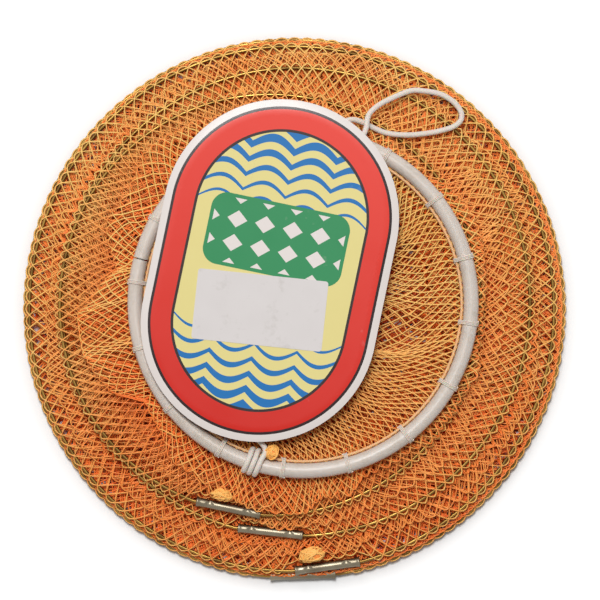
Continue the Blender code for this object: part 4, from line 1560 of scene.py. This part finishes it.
    def _tier_knot(self, tier: Tier, degrees: float, half_row: int) -> tuple[Vector, float]:
        """The place of one knot of a tier, and how much painted light the netting has there.

        Args:
            tier: The tier that the knot is in.
            degrees: The knot's angle round the net.
            half_row: Its half row, counted from the lower rim.

        Returns:
            The knot's place in the folded net and its painted light.
        """
        last = 2 * self.tier_rows
        if half_row in (0, last):
            return self._tip(tier.upper if half_row else tier.lower, degrees)
        share = (half_row - 1) / (last - 2)
        lower, upper = (self._edge(rim, degrees, False) for rim in (tier.lower, tier.upper))
        stops = [lower, *(radius * MM for radius, _, _ in tier.folds), upper]
        fold_middles = [Vector(fold[1:]) * MM for fold in tier.folds]
        middles = [tier.lower.centre.xy, *fold_middles, tier.upper.centre.xy]
        leg, part = find_leg(stops, share)
        out_a, slide_a = self._stray(tier, degrees, leg)
        out_b, slide_b = self._stray(tier, degrees, leg + 1)
        loose = smoothstep(min(share, 1 - share), 0.0, self.tied_share)
        reach = between(stops[leg] + out_a, stops[leg + 1] + out_b, part)
        reach += loose * self.knot_wander.at(degrees, share, tier.seed)
        if 0 < leg + part < len(stops) - 1:
            reach = min(reach, tier.lower.radius - self.hoops.wire)
        slide = between(slide_a, slide_b, part) + loose * self.knot_slide.at(degrees, share, tier.seed)
        turn = degrees + tier.turn * (leg + part) * loose + math.degrees(slide / reach)
        middle = middles[leg].lerp(middles[leg + 1], part)
        point = polar(reach, turn, between(*tier.blend, even_share(share)))
        # Painted shade: the netting is painted darker towards -Y, on top of the lighter colour of upper
        # layers
        light = between(self.dim_side_light, 1.0, smoothstep(point.y, *self.dim_side))
        return point + middle.to_3d(), between(*tier.painted_light_legs[leg], part) * light

    def _strand_shape(self, steps: int) -> bpy.types.NodeTree:
        """Geometry nodes that give the strands' middle lines their round form.

        Args:
            steps: In how many steps a strand curves from knot to knot.

        Returns:
            The node group.
        """
        tree = bpy.data.node_groups.new("net_strands", "GeometryNodeTree")
        for side in ("INPUT", "OUTPUT"):
            tree.interface.new_socket("Geometry", in_out=side, socket_type="NodeSocketGeometry")
        wiring = Wiring(tree)
        lines = wiring.node("NodeGroupInput").outputs[0]
        for kind, options, inputs in (
            ("GeometryNodeMeshToCurve", {}, {}),
            ("GeometryNodeCurveSplineType", {"spline_type": "CATMULL_ROM"}, {}),
            ("GeometryNodeSetSplineResolution", {}, {"Resolution": steps}),
        ):
            lines = wiring.node(kind, {0: lines, **inputs}, **options).outputs[0]
        ring = {"Resolution": self.strand_sides, "Radius": STRAND}
        section = wiring.node("GeometryNodeCurvePrimitiveCircle", ring, mode="RADIUS").outputs[0]
        strands = wiring.node("GeometryNodeCurveToMesh", {0: lines, 1: section}).outputs[0]
        strands = wiring.node("GeometryNodeSetShadeSmooth", {0: strands}).outputs[0]
        dress = {0: strands, "Material": self.finishes.net}
        dressed = wiring.node("GeometryNodeSetMaterial", dress).outputs[0]
        wiring.node("NodeGroupOutput", {0: dressed})
        return tree

    def _net(self, bm: Mesh, name: str, body: str | None, node: str, steps: int) -> Piece:
        """Makes a piece of netting from its strands' middle lines.

        Args:
            bm: The middle lines.
            name: The piece's name.
            body: The body that it rides on, or None for a piece that rides on no body.
            node: The CAD node that it stands for.
            steps: In how many steps a strand curves from knot to knot.

        Returns:
            The piece.
        """
        piece = finish_piece(bm, name, self.finishes.net, Slot.NETTING, body, node, sharp=180.0)
        piece.modifiers.new("strands", "NODES").node_group = self._strand_shape(steps)
        return piece

    def _tier(self, tier: Tier) -> None:
        """Makes one tier, which lies between its two rims and rides on no body.

        Args:
            tier: The tier.
        """
        half_rows = 2 * self.tier_rows
        bm = strand_lines(self.around, half_rows, lambda degrees, row: self._tier_knot(tier, degrees, row))
        piece = self._net(bm, f"{tier.name}ting", None, tier.name, self.tier_bends)
        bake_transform(piece)

    def _bottom_knot(self, degrees: float, half_row: int) -> tuple[Vector, float]:
        """The place of one knot of the bottom, which is folded over itself and gathered, and its painted
        light.

        Args:
            degrees: The knot's angle round the net.
            half_row: Its half row, counted from the base hoop.

        Returns:
            The knot's place in the folded net and its fading.
        """
        if half_row == 0:
            return self._tip(self.hoops.rims["base_hoop"], degrees)
        share = (half_row - 1) / (2 * self.bottom_rows - 1)
        leg, part = find_leg([radius for radius, _ in self.bottom_way], share)
        ends = zip(self.bottom_way[leg], self.bottom_way[leg + 1])
        reach, height = (between(first, second, part) * MM for first, second in ends)
        loose = smoothstep(share, 0.0, self.bottom_tied_share) * smoothstep(reach, *self.bottom_core)
        reach += self.bottom_wander * loose * rippled(self.bottom_wanders, degrees, share)
        reach = min(reach, self.bottom_way[0][0] * MM)
        slide = self.bottom_slide * loose * rippled(self.bottom_slides, degrees, share)
        return polar(reach, degrees + math.degrees(slide / reach), height), 0.0

    def _bottom(self) -> None:
        """Makes the bottom net."""
        half_rows = 2 * self.bottom_rows
        bm = strand_lines(self.around, half_rows, self._bottom_knot)
        piece = self._net(bm, "net_bottom_mesh", "base", "net_bottom", self.bottom_bends)


@dataclass(frozen=True)
class SeamKnot:
    """A lump of drawn-up netting: its sizes, and where it lies inside a sleeve or the ring's tube."""

    node: str
    body: str
    length: float
    width: float
    angle: float
    lift: float  # from the rim's middle up to the lump's
    seed: int


@dataclass(frozen=True)
class SeamKnots:
    """The three lumps of the netting's seam, each a bundle of looped strands."""

    finishes: Finishes
    hoops: HoopStack
    ring: MouthRing
    knots: tuple[SeamKnot, ...] = (
        SeamKnot("seam_knot_outer", "hoop_3", 11.0 * MM, 6.6 * MM, -85.3, 3.5 * MM, 3),
        SeamKnot("seam_knot_middle", "hoop_1", 9.0 * MM, 5.0 * MM, -104.2, 3.5 * MM, 5),
        SeamKnot("seam_knot_inner", "mouth_ring", 6.0 * MM, 6.4 * MM, -101.8, 2.9 * MM, 8),
    )
    height: float = 4.0 * MM
    gap: float = 0.3 * MM
    loops: int = 22
    loop_steps: int = 26
    loop_sides: int = 6
    loop_tilt: float = 0.6  # how far a loop's axis may point up or down, where sideways it may be 1
    loop_offset: float = 0.45  # how far from the middle a loop may lie, as a share of the lump's half
    loop_swell: Pair = (0.78, 1.06)  # a loop's size as a share of the lump's
    wobble: float = 0.07
    wobble_waves: int = 3
    # Painted light: the loops take mostly the lit netting colours, the core more of the painted shade colours
    loop_painted_light: float = 0.9
    core: float = 0.41  # radius of the solid core as a share of the lump's length, width and height
    core_painted_light: float = 0.45

    def _place(self, knot: SeamKnot) -> Vector:
        """The middle of a lump.

        Args:
            knot: The lump.

        Returns:
            Its place in the folded net.
        """
        if knot.body == "mouth_ring":
            centre, inside = self.ring.centre, self.ring.radius - self.ring.tube
        else:
            rim = self.hoops.rims[knot.body]
            centre, inside = rim.centre, rim.sleeve_inside
        return centre + polar(inside - self.gap - knot.width / 2, knot.angle, knot.lift)

    def _loop(self, knot: SeamKnot, draw: random.Random) -> list[Vector]:
        """One loop of strand that runs round the lump.

        Args:
            knot: The lump.
            draw: Where its random numbers come from.

        Returns:
            The loop's middle line, round the lump's own middle.
        """
        tilt, offset_limit = self.loop_tilt, self.loop_offset
        normal = Vector((draw.uniform(-1, 1), draw.uniform(-1, 1), draw.uniform(-tilt, tilt))).normalized()
        across = normal.orthogonal().normalized()
        up = normal.cross(across)
        offset = draw.uniform(-offset_limit, offset_limit)
        ring = math.sqrt(1 - offset * offset)
        swell = draw.uniform(*self.loop_swell)
        shift = draw.uniform(0, math.tau)
        half = Vector((knot.length / 2, knot.width / 2, self.height / 2))
        points = []
        for step in range(self.loop_steps):
            turn = math.tau * step / self.loop_steps
            bend = 1 + self.wobble * math.sin(self.wobble_waves * turn + shift)
            unit = (across * math.cos(turn) + up * math.sin(turn)) * ring * bend + normal * offset
            points.append(Vector([u * h * swell for u, h in zip(unit, half)]))
        return points

    def build(self) -> None:
        """Makes the lumps."""
        for knot in self.knots:
            draw = random.Random(knot.seed)
            bm = bmesh.new()
            bmesh.ops.create_icosphere(bm, subdivisions=3, radius=self.core)
            bmesh.ops.scale(bm, vec=(knot.length, knot.width, self.height), verts=bm.verts[:])
            painted_light = bm.verts.layers.float.new(PAINTED_LIGHT)
            for vertex in bm.verts:
                vertex[painted_light] = self.core_painted_light
            for _ in range(self.loops):
                before = set(bm.verts)
                add_tube(bm, self._loop(knot, draw), STRAND, self.loop_sides, closed=True)
                for vertex in set(bm.verts) - before:
                    vertex[painted_light] = self.loop_painted_light
            carry(bm, knot.angle + 90, self._place(knot))
            name = knot.node.replace("knot", "tuft")
            finish_piece(bm, name, self.finishes.net, Slot.NETTING, knot.body, knot.node, sharp=180.0)


# The label


@dataclass(frozen=True)
class Label:
    """The loose printed card with round ends, and the blank sticker on it."""

    finishes: Finishes
    width: float = 103.7 * MM
    length: float = 151.5 * MM
    thickness: float = 0.6 * MM
    tilt: float = -11.8
    centre: Vector = Vector((-10.8 * MM, 16.8 * MM, 27.838 * MM))
    end_steps: int = 40
    insets: int = 6  # rings of faces, so that the card can curl
    inset_step: float = 7.0 * MM
    edge_bevel: float = 0.12 * MM
    edge_steps: int = 2
    edge_angle: float = 1.0  # radians past which an edge is the card's own
    bow: float = 0.5 * MM
    sharp: float = 30.0
    sticker_width: float = 57.5 * MM
    sticker_length: float = 31.0 * MM
    sticker_thickness: float = 0.14 * MM
    sticker_centre: Vector = Vector((-15.2 * MM, -0.5 * MM, 0))
    sticker_tilt: float = -6.0
    sticker_gap: float = 0.03 * MM
    sticker_columns: int = 24
    sticker_rows: int = 2
    sticker_corner: float = 1.3 * MM
    corner_steps: int = 4

    def _bow(self, x: float) -> float:
        """How far the card's long sides curl up at a place across it."""
        return self.bow * (2 * x / self.width) ** 2

    def build(self) -> None:
        """Makes the card and the sticker."""
        self._card()
        self._sticker()

    def _card(self) -> None:
        """Makes the card, with a UV map of its own plan."""
        bm = bmesh.new()
        half_step = math.pi / self.end_steps / 2
        radius = self.width / 2 / math.cos(half_step)
        bmesh.ops.create_circle(bm, segments=2 * self.end_steps, radius=radius, cap_ends=True)
        bmesh.ops.rotate(bm, verts=bm.verts[:], matrix=Matrix.Rotation(half_step, 3, "Z"))
        for vertex in bm.verts:
            vertex.co.y += math.copysign((self.length - self.width) / 2, vertex.co.y)
        for _ in range(self.insets):
            inset(bm, [max(bm.faces, key=lambda face: len(face.verts))], self.inset_step)
        thicken(bm, self.thickness)
        bmesh.ops.recalc_face_normals(bm, faces=bm.faces[:])
        rims = [edge for edge in bm.edges if edge.calc_face_angle(0.0) > self.edge_angle]
        bevel(bm, rims, "EDGES", self.edge_bevel, self.edge_steps)
        uv = bm.loops.layers.uv.verify()
        for face in bm.faces:
            for loop in face.loops:
                loop[uv].uv = (loop.vert.co.xy / self.length) + Vector((0.5, 0.5))
        for vertex in bm.verts:
            vertex.co.z += self._bow(vertex.co.x)
        carry(bm, self.tilt, self.centre)
        name, node = "label_card_print", "label_card"
        finish_piece(bm, name, self.finishes.card, Slot.CARD, "label", node, sharp=self.sharp)

    def _sticker(self) -> None:
        """Makes the blank sticker, which follows the card's curl."""
        bm = bmesh.new()
        add_unit_grid(bm, self.sticker_columns, self.sticker_rows)
        bmesh.ops.scale(bm, vec=(self.sticker_width, self.sticker_length, 1), verts=bm.verts[:])
        corners = [vertex for vertex in bm.verts if len(vertex.link_edges) == 2]
        bevel(bm, corners, "VERTICES", self.sticker_corner, self.corner_steps)
        thicken(bm, self.sticker_thickness)
        rest = self.centre + Vector((0, 0, self.thickness + self.sticker_gap))
        carry(bm, self.sticker_tilt, self.sticker_centre + Vector((0, 0, rest.z)))
        across = polar(1, self.tilt)
        for vertex in bm.verts:
            vertex.co.z += self._bow((vertex.co - self.centre).dot(across))
        name, node = "label_blank", "label_sticker"
        finish_piece(bm, name, self.finishes.sticker, Slot.STICKER, "label", node, sharp=self.sharp)


# The studio


@dataclass(frozen=True)
class Lamp:
    """A soft square lamp that points at the net."""

    name: str
    place: Triple
    size: float
    power: float

    def build(self) -> None:
        """Makes the lamp."""
        data = bpy.data.lights.new(self.name, "AREA")
        data.size = self.size
        data.energy = self.power
        lamp = link(self.name, data)
        lamp.location = self.place
        lamp.rotation_euler = (-Vector(self.place)).to_track_quat("-Z", "Y").to_euler()
        lamp.visible_camera = False


@dataclass(frozen=True)
class Studio:
    """White floor and surroundings, soft light from above and a camera that looks straight down."""

    view_width: float = 265.2 * MM
    view_centre: Vector = Vector((2.43 * MM, 3.89 * MM, 12.0 * MM))
    lens: float = 350.0
    sensor: float = 36.0
    sight: float = 20.0  # how far the camera sees, in metres
    lamps: tuple[Lamp, ...] = (
        Lamp("key_lamp", (-0.8, 2.2, 2.5), 1.15, 22.0),
        Lamp("top_lamp", (-0.17, 0.9, 2.6), 0.7, 48.0),
    )
    sky: Triple = (1.0, 0.99, 0.98)
    sky_light: float = 0.24  # how strongly the white surroundings light the net
    floor_half: float = 4.0
    floor_drop: float = 0.3 * MM
    floor_white: float = 0.97
    floor_roughness: float = 0.85
    floor_specular: float = 0.1
    # The floor's own glow where it is seen: the distances between which it grows, and its strength then
    floor_glows: tuple[Triple, ...] = ((0.121, 0.137, 0.35), (0.25, 1.2, 0.4))

    def build(self) -> None:
        """Makes the camera, the lamps, the world and the floor."""
        self._camera()
        for lamp in self.lamps:
            lamp.build()
        self._world()
        self._floor()
        bpy.context.scene.view_settings.view_transform = "Standard"

    def _camera(self) -> None:
        """Makes the camera, with a long lens straight above the net."""
        data = bpy.data.cameras.new("camera")
        data.lens = self.lens
        data.sensor_width = self.sensor
        data.clip_end = self.sight
        camera = link("camera", data)
        camera.location = self.view_centre + Vector((0, 0, self.view_width * self.lens / self.sensor))
        bpy.context.scene.camera = camera

    def _seen(self, wiring: Wiring) -> Socket:
        """A mask that is 1 for rays that show the surroundings themselves.

        Args:
            wiring: The tree that needs the mask.

        Returns:
            The mask.
        """
        path = wiring.node("ShaderNodeLightPath").outputs
        seen = wiring.calc("MAXIMUM", path["Is Camera Ray"], path["Is Glossy Ray"])
        return wiring.calc("MAXIMUM", seen, path["Is Transmission Ray"])

    def _world(self) -> None:
        """Makes the white surroundings, which light the net more softly than they look."""
        world = bpy.data.worlds.new("surroundings")
        world.use_nodes = True
        bpy.context.scene.world = world
        wiring = Wiring(world.node_tree)
        background = world.node_tree.nodes["Background"]
        wiring.feed(background.inputs["Color"], (*self.sky, 1.0))
        wiring.feed(background.inputs["Strength"], wiring.grade(self._seen(wiring), self.sky_light, 1.0))

    def _floor(self) -> None:
        """Makes the white floor, which keeps the net's shadow."""
        bm = bmesh.new()
        bmesh.ops.create_grid(bm, x_segments=1, y_segments=1, size=self.floor_half)
        bmesh.ops.translate(bm, verts=bm.verts[:], vec=(0, 0, -self.floor_drop))
        mesh = bpy.data.meshes.new("floor")
        bm.to_mesh(mesh)
        bm.free()
        recipe = Recipe("white_floor")
        away = recipe.node("ShaderNodeVectorMath", {0: recipe.place()}, operation="LENGTH").outputs["Value"]
        glows = [recipe.span(away, start, end, 0, full) for start, end, full in self.floor_glows]
        recipe.set(
            Base_Color=(self.floor_white, self.floor_white, self.floor_white, 1.0),
            Roughness=self.floor_roughness,
            Specular_IOR_Level=self.floor_specular,
            Emission_Color=(1.0, 1.0, 1.0, 1.0),
            Emission_Strength=recipe.times(self._seen(recipe), recipe.calc("ADD", *glows)),
        )
        mesh.materials.append(recipe.material)
        link("floor", mesh)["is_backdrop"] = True


def corners() -> list[list[float]]:
    """The whole object's lowest and highest corner, as plain lists."""
    return [[float(value) for value in corner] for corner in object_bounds()]


def dress_plug(plug: Piece, finishes: Finishes) -> None:
    """Gives the plug inside the ring's tube, which keeps its CAD solid, its material.

    Args:
        plug: The plug's CAD node.
        finishes: The keepnet's materials.
    """
    plug.data.materials.clear()
    plug.data.materials.append(finishes.plug)
    log.info("%s: dressed CAD node", plug.name)


def main() -> None:
    """Builds the keepnet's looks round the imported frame."""
    logging.basicConfig(level=logging.INFO, format="%(name)s: %(message)s")
    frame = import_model()

    Studio().build()
    finishes = Finishes(Label.width, Label.length)
    ring = MouthRing(finishes)
    Handle(finishes, ring).build()
    hoops = HoopStack(finishes)
    hoops.build()
    ring.build()
    NetBag(finishes, hoops, ring).build()
    SeamKnots(finishes, hoops, ring).build()
    Label(finishes).build()
    dress_plug(frame["nodes"]["ring_plug"], finishes)


if __name__ == "__main__":
    main()
